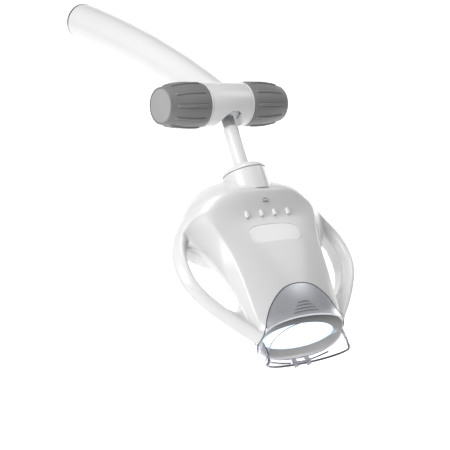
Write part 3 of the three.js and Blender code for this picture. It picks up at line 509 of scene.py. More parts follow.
def carve(bm: Mesh, tool: Mesh, cut: Cut) -> Mesh:
    """Cuts or joins one closed mesh with another.

    Args:
        bm: The mesh that is changed.
        tool: The other mesh.
        cut: What the other mesh does to it.

    Returns:
        The result, in place of both.
    """
    for mesh in (bm, tool):
        face_outwards(mesh)
    target, cutter = as_object("carved", bm), as_object("cutter", tool)
    change = target.modifiers.new("carve", "BOOLEAN")
    change.operation = cut.value
    change.solver = "MANIFOLD"
    change.object = cutter
    made = applied(target)
    data = cutter.data
    bpy.data.objects.remove(cutter)
    bpy.data.meshes.remove(data)
    return made


def revoxel(bm: Mesh, size: float, passes: int) -> Mesh:
    """Rebuilds a closed mesh in even small faces and eases its edges.

    Args:
        bm: The mesh.
        size: The face size.
        passes: How many times the edges are eased.

    Returns:
        The new mesh.
    """
    thing = as_object("remeshed", bm)
    change = thing.modifiers.new("remesh", "REMESH")
    change.mode = "VOXEL"
    change.voxel_size = size
    made = applied(thing)
    for _ in range(passes):
        bmesh.ops.smooth_vert(made, verts=made.verts, factor=0.5, use_axis_x=True, use_axis_y=True,
                              use_axis_z=True)
    return made


def place(name: str, bm: Mesh, where: Matrix, body: Body | str,
          finish: Finish | ClearFinish | bpy.types.Material, nodes: Sequence[str] = (),
          sharp: float = 32.0) -> bpy.types.Object:
    """Puts a finished piece on its body, in the row frame, in metres.

    Args:
        name: The piece's name.
        bm: Its mesh, in millimetres in its own frame.
        where: Its own frame in the row frame, in millimetres.
        body: The body that it rides on.
        finish: Its finish or material.
        nodes: The CAD nodes that it stands for.
        sharp: The angle in degrees from which an edge stays sharp.

    Returns:
        The piece.
    """
    settle(bm, sharp)
    bmesh.ops.transform(bm, matrix=Matrix.Scale(MM, 4) @ where, verts=bm.verts)
    made = as_object(name, bm)
    material = finish if isinstance(finish, bpy.types.Material) else finish.material()
    made.data.materials.clear()
    made.data.materials.append(material)
    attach(made, body.value if isinstance(body, Body) else body)
    if nodes:
        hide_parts(*nodes)
    return made


def rounded(outline: Sequence[tuple[float, float, float]], steps: int = 5) -> list[Pair]:
    """Rounds the corners of an outline.

    Args:
        outline: Points with the radius of each corner, 0 for a sharp one.
        steps: How many spans each rounding has.

    Returns:
        The rounded outline.
    """
    made: list[Pair] = []
    count = len(outline)
    for number, (x, y, radius) in enumerate(outline):
        here = Vector((x, y))
        if radius <= 0.0 or number in (0, count - 1):
            made.append((x, y))
            continue
        before = Vector(outline[number - 1][:2]) - here
        after = Vector(outline[number + 1][:2]) - here
        reach = min(radius, before.length * 0.48, after.length * 0.48)
        start, end = here + before.normalized() * reach, here + after.normalized() * reach
        for step in range(steps + 1):
            share = step / steps
            point = start.lerp(here, share).lerp(here.lerp(end, share), share)
            made.append((point.x, point.y))
    return made


def turned(outline: Sequence[Pair], segments: int = 96) -> Mesh:
    """Spins an outline of radius and height about Z.

    Args:
        outline: Points of radius and height, closed on the axis or on itself.
        segments: How many steps the turn has.

    Returns:
        The turned mesh.
    """
    bm = bmesh.new()
    verts = [bm.verts.new((radius, 0.0, height)) for radius, height in outline]
    edges = [bm.edges.new(pair) for pair in zip(verts, verts[1:])]
    bmesh.ops.spin(bm, geom=[*verts, *edges], axis=(0, 0, 1), cent=(0, 0, 0), angle=2 * math.pi,
                   steps=segments, use_merge=True)
    bmesh.ops.remove_doubles(bm, verts=bm.verts, dist=1e-4)
    face_outwards(bm)
    return bm


def block(low: Sequence[float], high: Sequence[float]) -> Mesh:
    """A box between two corners.

    Args:
        low: The corner with the least x, y and z.
        high: The corner with the greatest.

    Returns:
        The closed mesh.
    """
    bm = bmesh.new()
    bmesh.ops.create_cube(bm, size=1.0)
    size = [top - bottom for bottom, top in zip(low, high)]
    middle = [(top + bottom) / 2 for bottom, top in zip(low, high)]
    bmesh.ops.scale(bm, vec=size, verts=bm.verts)
    bmesh.ops.translate(bm, vec=middle, verts=bm.verts)
    return bm


def rod(radius: float, start: float, end: float, segments: int = 64) -> Mesh:
    """A round bar along Z.

    Args:
        radius: Its radius.
        start: The height at which it begins.
        end: The height at which it ends.
        segments: How many sides it has.

    Returns:
        The closed mesh.
    """
    bm = bmesh.new()
    bmesh.ops.create_cone(bm, cap_ends=True, segments=segments, radius1=radius, radius2=radius,
                          depth=end - start)
    bmesh.ops.translate(bm, vec=(0, 0, (start + end) / 2), verts=bm.verts)
    return bm


def prism(outline: Sequence[Pair], near: float, far: float) -> Mesh:
    """Extrudes a flat outline of x and height between two depths.

    Args:
        outline: The outline's points.
        near: The depth of the face nearer the front.
        far: The depth of the other face.

    Returns:
        The closed mesh.
    """
    bm = bmesh.new()
    bmesh.ops.create_circle(bm, cap_ends=True, radius=1.0, segments=len(outline))
    bm.verts.ensure_lookup_table()
    for vert, (x, height) in zip(bm.verts, outline):
        vert.co = (x, near, height)
    grown = bmesh.ops.extrude_face_region(bm, geom=list(bm.faces))
    pushed = [part for part in grown["geom"] if isinstance(part, bmesh.types.BMVert)]
    bmesh.ops.translate(bm, vec=(0, far - near, 0), verts=pushed)
    face_outwards(bm)
    return bm


def moved(bm: Mesh, where: Matrix) -> Mesh:
    """Moves a mesh by a matrix and returns it."""
    bmesh.ops.transform(bm, matrix=where, verts=bm.verts)
    return bm


def merged(parts: Sequence[Mesh]) -> Mesh:
    """Gathers loose meshes into one.

    Args:
        parts: The meshes, freed afterwards.

    Returns:
        One mesh that holds them all.
    """
    whole = bmesh.new()
    for part in parts:
        data = bpy.data.meshes.new("gathered")
        part.to_mesh(data)
        part.free()
        whole.from_mesh(data)
        bpy.data.meshes.remove(data)
    return whole


def swept(path: Callable[[float], Vector], radius: Callable[[float], float], across: Vector, stations: int,
          segments: int = 16) -> Mesh:
    """A round bar bent along a path.

    Args:
        path: The centre line, from 0 to 1.
        radius: The radius along it.
        across: A direction that the path never runs along.
        stations: How many spans the bar has.
        segments: How many sides its section has.

    Returns:
        The closed mesh.
    """
    bm = rod(1.0, 0.0, 1.0, segments)
    along = [edge for edge in bm.edges if abs(edge.verts[0].co.z - edge.verts[1].co.z) > 0.5]
    bmesh.ops.subdivide_edges(bm, edges=along, cuts=stations - 1, use_grid_fill=False)
    for vert in bm.verts:
        share = min(1.0, max(0.0, vert.co.z))
        tangent = (path(min(1.0, share + 1e-3)) - path(max(0.0, share - 1e-3))).normalized()
        side = tangent.cross(across).normalized()
        other = side.cross(tangent)
        vert.co = path(share) + (side * vert.co.x + other * vert.co.y) * radius(share)
    face_outwards(bm)
    return bm


def hermite(table: Sequence[Sequence[float]], at: float) -> list[float]:
    """Reads a table between its rows along a smooth curve.

    Args:
        table: Rows that start with the place at which they hold.
        at: The place to read.

    Returns:
        The values there, without the place.
    """
    last = len(table) - 1
    place_at = min(max(at, table[0][0]), table[last][0])
    number = next((row for row in range(last) if place_at <= table[row + 1][0]), last - 1)
    low, high = table[number], table[number + 1]
    span = high[0] - low[0]
    share = (place_at - low[0]) / span

    def slope(row: int, column: int) -> float:
        """How fast a column changes at a row."""
        before, after = max(0, row - 1), min(last, row + 1)
        return (table[after][column] - table[before][column]) / (table[after][0] - table[before][0])

    square, cube = share * share, share ** 3
    return [
        (2 * cube - 3 * square + 1) * low[column] + (cube - 2 * square + share) * span * slope(number, column)
        + (3 * square - 2 * cube) * high[column] + (cube - square) * span * slope(number + 1, column)
        for column in range(1, len(low))
    ]


def eased(share: float) -> float:
    """A soft step from 0 to 1."""
    held = min(1.0, max(0.0, share))
    return held * held * (3 - 2 * held)


@dataclass
class Arm:
    """The tapering arm with the barrel at its end, its trim rings and the plug at its root."""

    hub_radius: float = 15.7
    root_radius: float = 20.3
    wall: float = 2.6
    rise: float = 1.5
    bend: Pair = (108.0, 53.0)
    root: Pair = (262.0, 89.0)
    barrel_radius: float = 22.0
    barrel_half: float = 24.5
    bore: float = 17.0
    web: float = 4.4
    ring_width: float = 1.7
    slot_half: float = 16.0
    slot_front: float = 75.0
    slot_back: float = -45.0
    slot_apex: float = 4.5
    slot_floor: float = 12.6
    slot_reach: float = 26.4
    slot_flare: float = 1.09
    axle_hole: float = 6.0
    ring_gap: float = 0.3
    ring_bore: float = 11.3
    ring_proud: float = 0.2
    plug_depth: float = 22.0
    plug_gap: float = 0.3
    flange: float = 3.0
    cable_hole: float = 4.5
    cable_drop: float = 11.0
    taper_length: float = 285.0

    def path(self, share: float) -> Vector:
        """The arm's centre line from the hub, in the arm's frame."""
        start, bend, end = Vector((0, 0, self.rise)), Vector((0, *self.bend)), Vector((0, *self.root))
        return start.lerp(bend, share).lerp(bend.lerp(end, share), share)

    def bar(self, inset: float, start: float, past: float) -> Mesh:
        """The arm as a bar, or its hollow.

        Args:
            inset: How much smaller than the arm it is.
            start: The share of the path at which it begins.
            past: How far it runs beyond the root.

        Returns:
            The closed mesh.
        """
        tangent = (self.path(1.0) - self.path(0.999)).normalized()

        def line(share: float) -> Vector:
            """The bar's centre line."""
            return self.path(start + (1 - start) * share) + tangent * (past if share > 0.999 else 0.0)

        def radius(share: float) -> float:
            """The bar's radius."""
            whole = start + (1 - start) * share
            return self.hub_radius + (self.root_radius - self.hub_radius) * whole - inset

        return swept(line, radius, Vector((1, 0, 0)), 40, 96)

    def window(self) -> Mesh:
        """The window in which the stem swings, swept round the barrel's axis."""
        bm = block((-1, 0, 0), (1, 1, 1))
        along = [edge for edge in bm.edges if abs(edge.verts[0].co.z - edge.verts[1].co.z) > 0.5]
        bmesh.ops.subdivide_edges(bm, edges=along, cuts=39, use_grid_fill=False)
        for vert in bm.verts:
            share = vert.co.z
            angle = math.radians(self.slot_back + (self.slot_front - self.slot_back) * share)
            narrow = math.sqrt(max(0.0, 1 - max(0.0, 2 * share - 1) ** 2))
            radius = self.slot_floor if vert.co.y < 0.5 else self.slot_reach
            flare = 1.0 if vert.co.y < 0.5 else self.slot_flare
            half = max(self.slot_apex, self.slot_half * narrow) * flare
            vert.co = (vert.co.x * half, -radius * math.sin(angle), -radius * math.cos(angle))
        face_outwards(bm)
        return bm

    def build(self) -> None:
        """Builds the arm, the rings and the plug."""
        across = crosswise(STANCE.barrel_offset)
        barrel = moved(turned(rounded([
            (0, -self.barrel_half, 0), (self.barrel_radius, -self.barrel_half, 0.5),
            (self.barrel_radius, self.barrel_half, 0.5), (0, self.barrel_half, 0),
        ], 3), 128), across)
        body = carve(barrel, self.bar(0.0, 0.0, 0.0), Cut.JOIN)
        body = carve(body, self.bar(self.wall, 0.05, 1.0), Cut.TAKE)
        outer = self.barrel_half - self.web
        past, axle_past = 30.0, 28.0
        for low, high, radius in ((-outer + self.web, outer - self.web, self.bore), (outer, past, self.bore),
                                  (-past, -outer, self.bore), (-axle_past, axle_past, self.axle_hole)):
            body = carve(body, moved(rod(radius, low, high, 96), across), Cut.TAKE)
        body = carve(body, self.window(), Cut.TAKE)
        place("arm_and_barrel", body, STANCE.arm, Body.ARM, WHITE, ["arm_with_hub"])
        self.rings()
        self.plug()

    def rings(self) -> None:
        """The thin white rings beside the barrel."""
        for side, name in ((-1, "left"), (1, "right")):
            start = self.barrel_half + self.ring_gap
            outer = self.barrel_radius + self.ring_proud
            ring = turned(rounded([
                (self.ring_bore, start, 0), (outer, start, 0.5), (outer, start + self.ring_width, 0.5),
                (self.ring_bore, start + self.ring_width, 0), (self.ring_bore, start, 0),
            ], 3), 128)
            flip = Matrix.Scale(side, 4, (0, 0, 1))
            place(f"{name}_barrel_ring", moved(ring, flip), STANCE.barrel, Body.ARM, WHITE,
                  [f"{name}_trim_ring"])

    def plug(self) -> None:
        """The plug and flange at the arm's root."""
        taper = (self.root_radius - self.hub_radius) / self.taper_length
        seat = self.root_radius - self.wall - self.plug_gap - taper * self.plug_depth
        foot, top = self.plug_gap, self.plug_gap + self.flange
        bm = turned(rounded([
            (0, -self.plug_depth, 0), (seat, -self.plug_depth, 1.0), (seat, foot, 0),
            (self.root_radius, foot, 0), (self.root_radius, top, 0.6), (0, top, 0),
        ], 3), 96)
        below = Matrix.Translation((0, -self.cable_drop, 0))
        hole = moved(rod(self.cable_hole, -self.plug_depth - 2, 5, 32), below)
        bm = carve(bm, hole, Cut.TAKE)
        tangent = self.path(1.0) - self.path(0.999)
        lean = Matrix.Rotation(-math.atan2(tangent.y, tangent.z), 4, "X")
        where = STANCE.arm @ Matrix.Translation(self.path(1.0)) @ lean
        place("arm_root_plug", bm, where, Body.ARM, STEEL, ["arm_root_insert"])


@dataclass
class TensionKnob:
    """One ribbed knob with the lighter disc in its end."""

    side: int
    body: Body
    start: float = 26.8
    length: float = 47.2
    end_radius: float = 18.2
    full_radius: float = 22.7
    ribs: int = 10
    rib_height: float = 1.1
    rib_half: float = 1.2
    rib_flank: float = 0.5
    rib_start: float = 5.0
    rib_end: float = 40.0
    rib_fade: float = 1.6
    groove_depth: float = 0.3
    bore: float = 4.4
    foot_radius: float = 21.2
    cap_recess: float = 2.9
    cap_gap: float = 0.3
    rim_width: float = 1.2
    shape: tuple[Pair, ...] = (
        # share of the length, then how full the knob is there
        (0.0, 0.84), (0.1, 0.96), (0.3, 1.0), (0.5, 0.9), (0.68, 0.66), (0.85, 0.31), (0.975, 0.0),
    )
    lip: tuple[Pair, ...] = ((0.12, 0.6), (0.5, 0.15), (0.9, 0.0), (1.15, 0.1), (1.2, 0.4))

    def radius(self, share: float) -> float:
        """The knob's radius at a share of its length."""
        fullness = hermite(self.shape, share)[0]
        return self.end_radius + (self.full_radius - self.end_radius) * fullness

    def build(self) -> None:
        """Builds the grip and its end disc."""
        name = "left" if self.side < 0 else "right"
        end = self.start + self.length
        seat = end - self.cap_recess
        spans, last = 72, self.shape[-1][0]
        skin = [(self.radius(step / spans * last), self.start + 0.6 + step / spans * (self.length - 1.9))
                for step in range(spans + 1)]
        lip = [(self.end_radius - inset, end - fall) for inset, fall in self.lip]
        outline = [(self.bore, self.start), (self.foot_radius, self.start), *skin, *lip,
                   (self.end_radius - self.rim_width, seat), (self.bore, seat), (self.bore, self.start)]
        bm = turned(outline, 400)
        for vert in bm.verts:
            self.raise_rib(vert)
        flip = Matrix.Scale(self.side, 4, (0, 0, 1))
        place(f"{name}_knob_grip", moved(bm, flip), STANCE.barrel, self.body, GRIP,
              [f"{name}_knob"])
        cap_radius = self.end_radius - 1.1 - self.cap_gap
        cap = turned(rounded([
            (0, seat + self.cap_gap, 0), (cap_radius, seat + self.cap_gap, 0), (cap_radius, end - 0.35, 0.7),
            (cap_radius * 0.8, end - 0.55, 4.0), (0, end - 0.75, 0),
        ], 6), 160)
        place(f"{name}_knob_disc", moved(cap, flip), STANCE.barrel, self.body, CAP,
              [f"{name}_knob_cap"])

    def raise_rib(self, vert: bmesh.types.BMVert) -> None:
        """Lifts a point of the grip where a rib runs.

        Args:
            vert: The point, with the knob along Z.
        """
        flat = math.hypot(vert.co.x, vert.co.y)
        along = vert.co.z - self.start
        if flat < self.end_radius - 0.1 or not self.rib_start < along < self.rib_end:
            return
        angle = math.atan2(vert.co.y, vert.co.x) / (2 * math.pi) * self.ribs
        off = abs(angle - math.floor(angle) - 0.5) / self.ribs * 2 * math.pi * flat
        across = eased((self.rib_half - off) / self.rib_flank + 0.5)
        ends = eased(min(along - self.rib_start, self.rib_end - along) / self.rib_fade)
        lift = self.rib_height * across * ends
        groove = self.groove_depth * eased(1.0 - abs(off - self.rib_half - 0.6) / 0.7) * ends
        scale = (flat + lift - groove) / flat
        vert.co.x *= scale
        vert.co.y *= scale


@dataclass
class Stem:
    """The drum in the barrel, the rod and sleeve that hang from it and the cap of the swivel."""

    rod_radius: float = 6.3
    bore: float = 3.2
    sleeve_radius: float = 7.6
    sleeve_start: float = 25.0
    cap_top: float = 66.2
    cap_foot: float = 74.9
    cap_radius: float = 22.2
    slack: float = 0.3
    drum_radius: float = 16.4
    drum_half: float = 12.8
    axle_bore: float = 4.3
    rod_top: float = 8.0
    rod_foot: float = 96.2
    crown: tuple[Pair, ...] = (
        # radius, then how far below the cap's top
        (9.4, 0.1), (11.5, 0.6), (14.0, 1.5), (16.6, 2.7), (19.0, 4.1), (20.8, 5.4), (21.8, 6.6),
    )
    crown_height: float = 7.8

    def build(self) -> None:
        """Builds the drum, the rod, the sleeve and the cap."""
        drum = moved(turned(rounded([
            (self.axle_bore, -self.drum_half, 0), (self.drum_radius, -self.drum_half, 0.4),
            (self.drum_radius, self.drum_half, 0.4), (self.axle_bore, self.drum_half, 0),
            (self.axle_bore, -self.drum_half, 0),
        ], 3), 96), crosswise(STANCE.barrel_offset))
        socket = rod(self.rod_radius + self.slack, -24, self.slack - self.rod_top, 48)
        drum = carve(drum, socket, Cut.TAKE)
        place("swing_drum", drum, STANCE.stem, Body.STEM, STEEL, ["pivot_drum"])
        shaft = turned(rounded([
            (self.bore, -self.rod_foot, 0), (self.rod_radius, -self.rod_foot, 0.6),
            (self.rod_radius, -self.rod_top, 0.6), (self.bore, -self.rod_top, 0),
            (self.bore, -self.rod_foot, 0),
        ], 3), 64)
        place("stem_shaft", shaft, STANCE.stem, Body.STEM, CAP, ["stem_rod"])
        inner, foot = self.rod_radius + self.slack, -self.cap_top + self.slack
        sleeve = turned(rounded([
            (inner, foot, 0), (self.sleeve_radius, foot, 0),
            (self.sleeve_radius, -self.sleeve_start - 2.0, 1.6), (inner, -self.sleeve_start, 0.2),
            (inner, foot, 0),
        ], 6), 80)
        place("stem_tube", sleeve, STANCE.stem, Body.STEM, WHITE, ["stem_sleeve"])
        crown = [(inner, -self.cap_top), *[(radius, -self.cap_top - fall) for radius, fall in self.crown],
                 (self.cap_radius, -self.cap_top - self.crown_height),
                 (self.cap_radius, -self.cap_foot + 0.4), (self.cap_radius - 0.3, -self.cap_foot),
                 (inner, -self.cap_foot), (inner, -self.cap_top)]
        place("swivel_crown", turned(crown, 128), STANCE.stem, Body.STEM, WHITE, ["swivel_cap"])


@dataclass
class HeadForm:
    """The outer form of the head: a pebble with a scoop and an open handle on each side.

    A row of a table starts with the distance down from the hub's axis.
    """

    parting: float = 35.0
    handle_width: float = 13.5
    floor: float = 1.5
    hollow_power: float = 1.8
    outline: tuple[tuple[float, ...], ...] = (
        # drop, half-width, height of the face, depth of the back, squareness
        (70.5, 2.0, 1.0, 1.0, 2.2), (71.5, 16.0, 5.6, 5.0, 2.2), (74.0, 30.5, 12.0, 10.0, 2.2),
        (78.0, 43.0, 17.6, 14.0, 2.3), (84.0, 54.3, 24.2, 17.5, 2.4), (88.0, 59.8, 28.2, 19.3, 2.5),
        (92.0, 64.8, 32.0, 21.0, 2.6), (96.0, 69.0, 35.6, 22.3, 2.7), (99.5, 72.4, 37.6, 23.3, 2.8),
        (103.0, 75.5, 37.9, 24.2, 2.9), (108.0, 79.5, 36.2, 25.3, 3.1), (114.0, 85.2, 33.5, 26.5, 3.3),
        (120.0, 90.2, 30.8, 27.3, 3.2), (128.0, 96.2, 28.6, 28.0, 3.0), (142.0, 104.0, 28.4, 28.5, 2.6),
        (158.0, 107.6, 28.8, 28.5, 2.6), (174.0, 106.9, 28.7, 28.0, 2.6), (188.0, 101.6, 28.2, 27.0, 2.6),
        (202.0, 92.0, 27.3, 25.5, 2.7), (214.0, 82.0, 26.0, 23.7, 2.9), (226.0, 70.5, 24.0, 21.7, 3.4),
        (236.0, 59.8, 22.2, 20.0, 4.2), (244.0, 53.0, 21.0, 17.9, 5.0), (254.0, 50.4, 20.0, 15.9, 5.0),
        (272.0, 49.2, 18.5, 13.1, 5.0), (276.0, 48.8, 18.2, 12.8, 5.0),
    )
    ridge: tuple[tuple[float, ...], ...] = (
        # drop, then across and height of the ridge, then of the crease
        (96.0, 60.0, 27.0, 88.0, 30.0), (106.0, 66.0, 25.4, 91.0, 25.0), (113.0, 67.5, 24.6, 91.0, 17.5),
        (120.0, 66.3, 23.9, 90.0, 11.5), (128.0, 64.2, 23.3, 87.0, 8.6), (135.0, 61.8, 22.8, 82.6, 8.0),
        (142.0, 59.4, 22.4, 78.4, 8.0), (150.0, 57.4, 22.0, 74.4, 7.6), (158.0, 55.9, 21.7, 71.0, 6.9),
        (174.0, 54.4, 20.4, 63.6, 5.6),
        (188.0, 53.6, 18.8, 58.6, 4.0), (202.0, 52.9, 16.4, 55.3, 2.4), (214.0, 52.4, 14.6, 54.4, 2.2),
        (226.0, 51.4, 13.2, 53.4, 2.4), (236.0, 47.5, 12.6, 51.0, 3.8), (244.0, 44.5, 12.5, 47.7, 4.5),
        (272.0, 43.0, 12.0, 46.0, 4.5),
    )
    side_wall: tuple[tuple[float, ...], ...] = (
        (133.0, 98.5), (138.5, 86.5), (142.0, 79.0), (148.0, 73.7), (158.0, 67.8), (168.0, 63.4),
        (178.0, 59.1), (188.0, 55.7), (198.0, 53.3), (206.0, 53.0), (276.0, 53.0),
    )

    def skin(self, drop: float, columns: int, inset: float, scooped: bool) -> list[Pair]:
        """Half of a section, from the middle of the face round to the middle of the back.

        Args:
            drop: The distance down.
            columns: How many spans it has.
            inset: How far inside the skin the section lies.
            scooped: Whether the scoops and handles are shaped.

        Returns:
            Points of distance across and height in front of the parting plane.
        """
        half, front, rear, power = hermite(self.outline, drop)
        if not scooped:
            half = min(half, hermite(self.side_wall, drop)[0], hermite(self.ridge, drop)[0] + 5.0)
        half, front, rear = (max(0.5, size - inset) for size in (half, front, rear))
        edges = [size - inset for size in hermite(self.ridge, drop)]
        stops = [0.0, 0.7 * half, 0.82 * half, 0.88 * half, 0.93 * half, half]
        if scooped and drop > 104.0:
            stops = [0.0, edges[0], *self.marks(drop, half, edges), half]
        row: list[Pair] = []
        counts = [round(columns * share) for share in (0.28, 0.2, 0.06, 0.1, 0.12)]
        for number, (start, end) in enumerate(zip(stops, stops[1:])):
            for step in range(counts[number]):
                share = step / counts[number]
                x = start + (end - start) * (math.sin(math.pi / 2 * share) if number == 4 else share)
                height = front * max(0.0, 1 - (x / half) ** power) ** 0.6
                row.append((x, self.scooped(x, height, drop, half, front, edges) if scooped else height))
        behind = columns - len(row)
        for step in range(behind + 1):
            share = max(0.0, math.cos(math.pi / 2 * step / behind))
            row.append((half * share, -rear * (1 - share ** 2.4) ** 0.6))
        return row

    def marks(self, drop: float, half: float, edges: Sequence[float]) -> tuple[float, float, float]:
        """Where the crease, the handle's inner edge and its crest lie across.

        Args:
            drop: The distance down.
            half: The pebble's half-width.
            edges: Across and height of the ridge, then of the crease.

        Returns:
            The three distances across, in order.
        """
        crest = half - (0.12 + 0.3 * eased((drop - 120.0) / 32.0)) * self.handle_width
        crease = max(edges[0] + 1.0, min(edges[2], crest - 1.8))
        return crease, max(half - self.handle_width, crease + 1.0), max(crest, crease + 1.8)

    def scooped(self, x: float, pebble: float, drop: float, half: float, front: float,
                edges: Sequence[float]) -> float:
        """The height of the face where the scoop and the handle's inner slope are cut into the pebble.

        Args:
            x: The distance across.
            pebble: The height of the plain pebble there.
            drop: The distance down.
            half: The pebble's half-width there.
            front: The height of the middle of the face.
            edges: Across and height of the ridge, then of the crease.

        Returns:
            The height of the face.
        """
        ridge_x, ridge_h, _, crease_h = edges
        crease, inner, crest = self.marks(drop, half, edges)
        floor = crease_h + (self.floor - crease_h) * eased((drop - 124.0) / 13.0)
        fade = 1.0 - eased((drop - 226.0) / 17.0)
        if x <= ridge_x:
            cut = min(pebble, front - (front - ridge_h) * (x / ridge_x) ** 2.3)
            return pebble + (cut - pebble) * fade * eased((drop - 92.0) / 26.0)
        if x <= crease:
            fall = 1 - (1 - (x - ridge_x) / (crease - ridge_x)) ** self.hollow_power
            cut = ridge_h + (crease_h - ridge_h) * fall
        elif x <= inner:
            cut = crease_h + (floor - crease_h) * (x - crease) / (inner - crease)
        elif x <= crest:
            cut = floor + (pebble - floor) * math.sin(math.pi / 2 * (x - inner) / (crest - inner))
        else:
            cut = pebble
        return pebble + (min(pebble, cut) - pebble) * fade * eased((drop - 104.0) / 6.0)

    def solid(self, inset: float = 0.0, scooped: bool = True, rows: int = 230, columns: int = 110,
              top: float = 70.5, bottom: float = 276.0) -> Mesh:
        """The form as a closed mesh, drawn from a grid that is wrapped round it.

        Args:
            inset: How far inside the skin it lies, or outside if negative.
            scooped: Whether the scoops and handles are shaped.
            rows: How many spans it has down.
            columns: How many spans it has from the middle of the face to the middle of the back.
            top: Where it begins.
            bottom: Where it ends.

        Returns:
            The closed mesh.
        """
        bm = bmesh.new()
        bmesh.ops.create_grid(bm, x_segments=2 * columns, y_segments=rows, size=0.5)
        sections = {}
        for vert in bm.verts:
            number, column = round((vert.co.y + 0.5) * rows), round((vert.co.x + 0.5) * 2 * columns)
            if number not in sections:
                share = number / rows
                drop = top + (bottom - top) * (share ** 1.35 if scooped else share)
                sections[number] = (drop, self.skin(drop, columns, inset, scooped))
            drop, row = sections[number]
            across, height = row[column if column <= columns else 2 * columns - column]
            vert.co = (across if column <= columns else -across, self.parting - height, -drop)
        bmesh.ops.remove_doubles(bm, verts=bm.verts, dist=1e-4)
        open_edges = [edge for edge in bm.edges if edge.is_boundary]
        bmesh.ops.holes_fill(bm, edges=open_edges, sides=0)
        bmesh.ops.recalc_face_normals(bm, faces=bm.faces)
        return bm

    def face_depth(self, across: float, drop: float) -> float:
        """The depth of the face at a place on it.

        Args:
            across: The distance across, to either side.
            drop: The distance down.

        Returns:
            The depth in the head's frame.
        """
        half, front, _, power = hermite(self.outline, drop)
        pebble = front * (1 - min(1.0, abs(across) / half) ** power) ** 0.6
        return self.parting - self.scooped(abs(across), pebble, drop, half, front, hermite(self.ridge, drop))


@dataclass
class Port:
    """The mouth of the light in the nose."""

    drop: float = 246.0
    depth: float = 30.5
    tilt: float = 36.6
    half_width: float = 48.0
    half_height: float = 20.8
    seat_width: float = 44.4
    seat_height: float = 13.0
    seat_fall: float = 2.5
    recess: float = 6.0

    @property
    def frame(self) -> Matrix:
        """The port's own frame: x across, y down its face and z into the head."""
        turn = Matrix.Rotation(math.radians(-self.tilt), 4, "X")
        return Matrix.Translation((0, self.depth, -self.drop)) @ turn

    def funnel(self, ovals: Sequence[tuple[float, float, float, float]], segments: int = 128) -> Mesh:
        """A closed funnel through ovals of half-width, half-height, fall and depth.

        Args:
            ovals: The ovals in order.
            segments: How many sides each has.

        Returns:
            The closed mesh in the head's frame.
        """
        bm = bmesh.new()
        loops = []
        for wide, high, fall, depth in ovals:
            ring = bmesh.ops.create_circle(bm, cap_ends=False, radius=1.0, segments=segments)["verts"]
            for vert in ring:
                vert.co = (vert.co.x * wide, fall + vert.co.y * high, depth)
            loops.append(ring)
        for first, second in zip(loops, loops[1:]):
            edges = {edge for vert in (*first, *second) for edge in vert.link_edges
                     if edge.other_vert(vert) in first or edge.other_vert(vert) in second}
            ringed = [edge for edge in edges if len(edge.link_faces) < 2
                      and (set(edge.verts) <= set(first) or set(edge.verts) <= set(second))]
            bmesh.ops.bridge_loops(bm, edges=ringed)
        for ring in (loops[0], loops[-1]):
            bmesh.ops.contextual_create(bm, geom=ring)
        bmesh.ops.recalc_face_normals(bm, faces=bm.faces)
        return moved(bm, self.frame)


def stadium(width: float, length: float, x: float, drop: float, steps: int = 8) -> list[Pair]:
    """The outline of a slot with round ends.

    Args:
        width: Its size across.
        length: Its size down.
        x: Where its middle lies across.
        drop: How far down its middle lies.
        steps: How many spans a quarter of it has.

    Returns:
        Points of x and height.
    """
    radius = min(width, length) / 2
    reach = (width / 2 - radius, length / 2 - radius)
    outline = []
    for step in range(4 * steps):
        angle = (step + 0.5) / steps * math.pi / 2
        outline.append((x + math.copysign(reach[0], math.cos(angle)) + radius * math.cos(angle),
                        -drop + math.copysign(reach[1], math.sin(angle)) + radius * math.sin(angle)))
    return outline


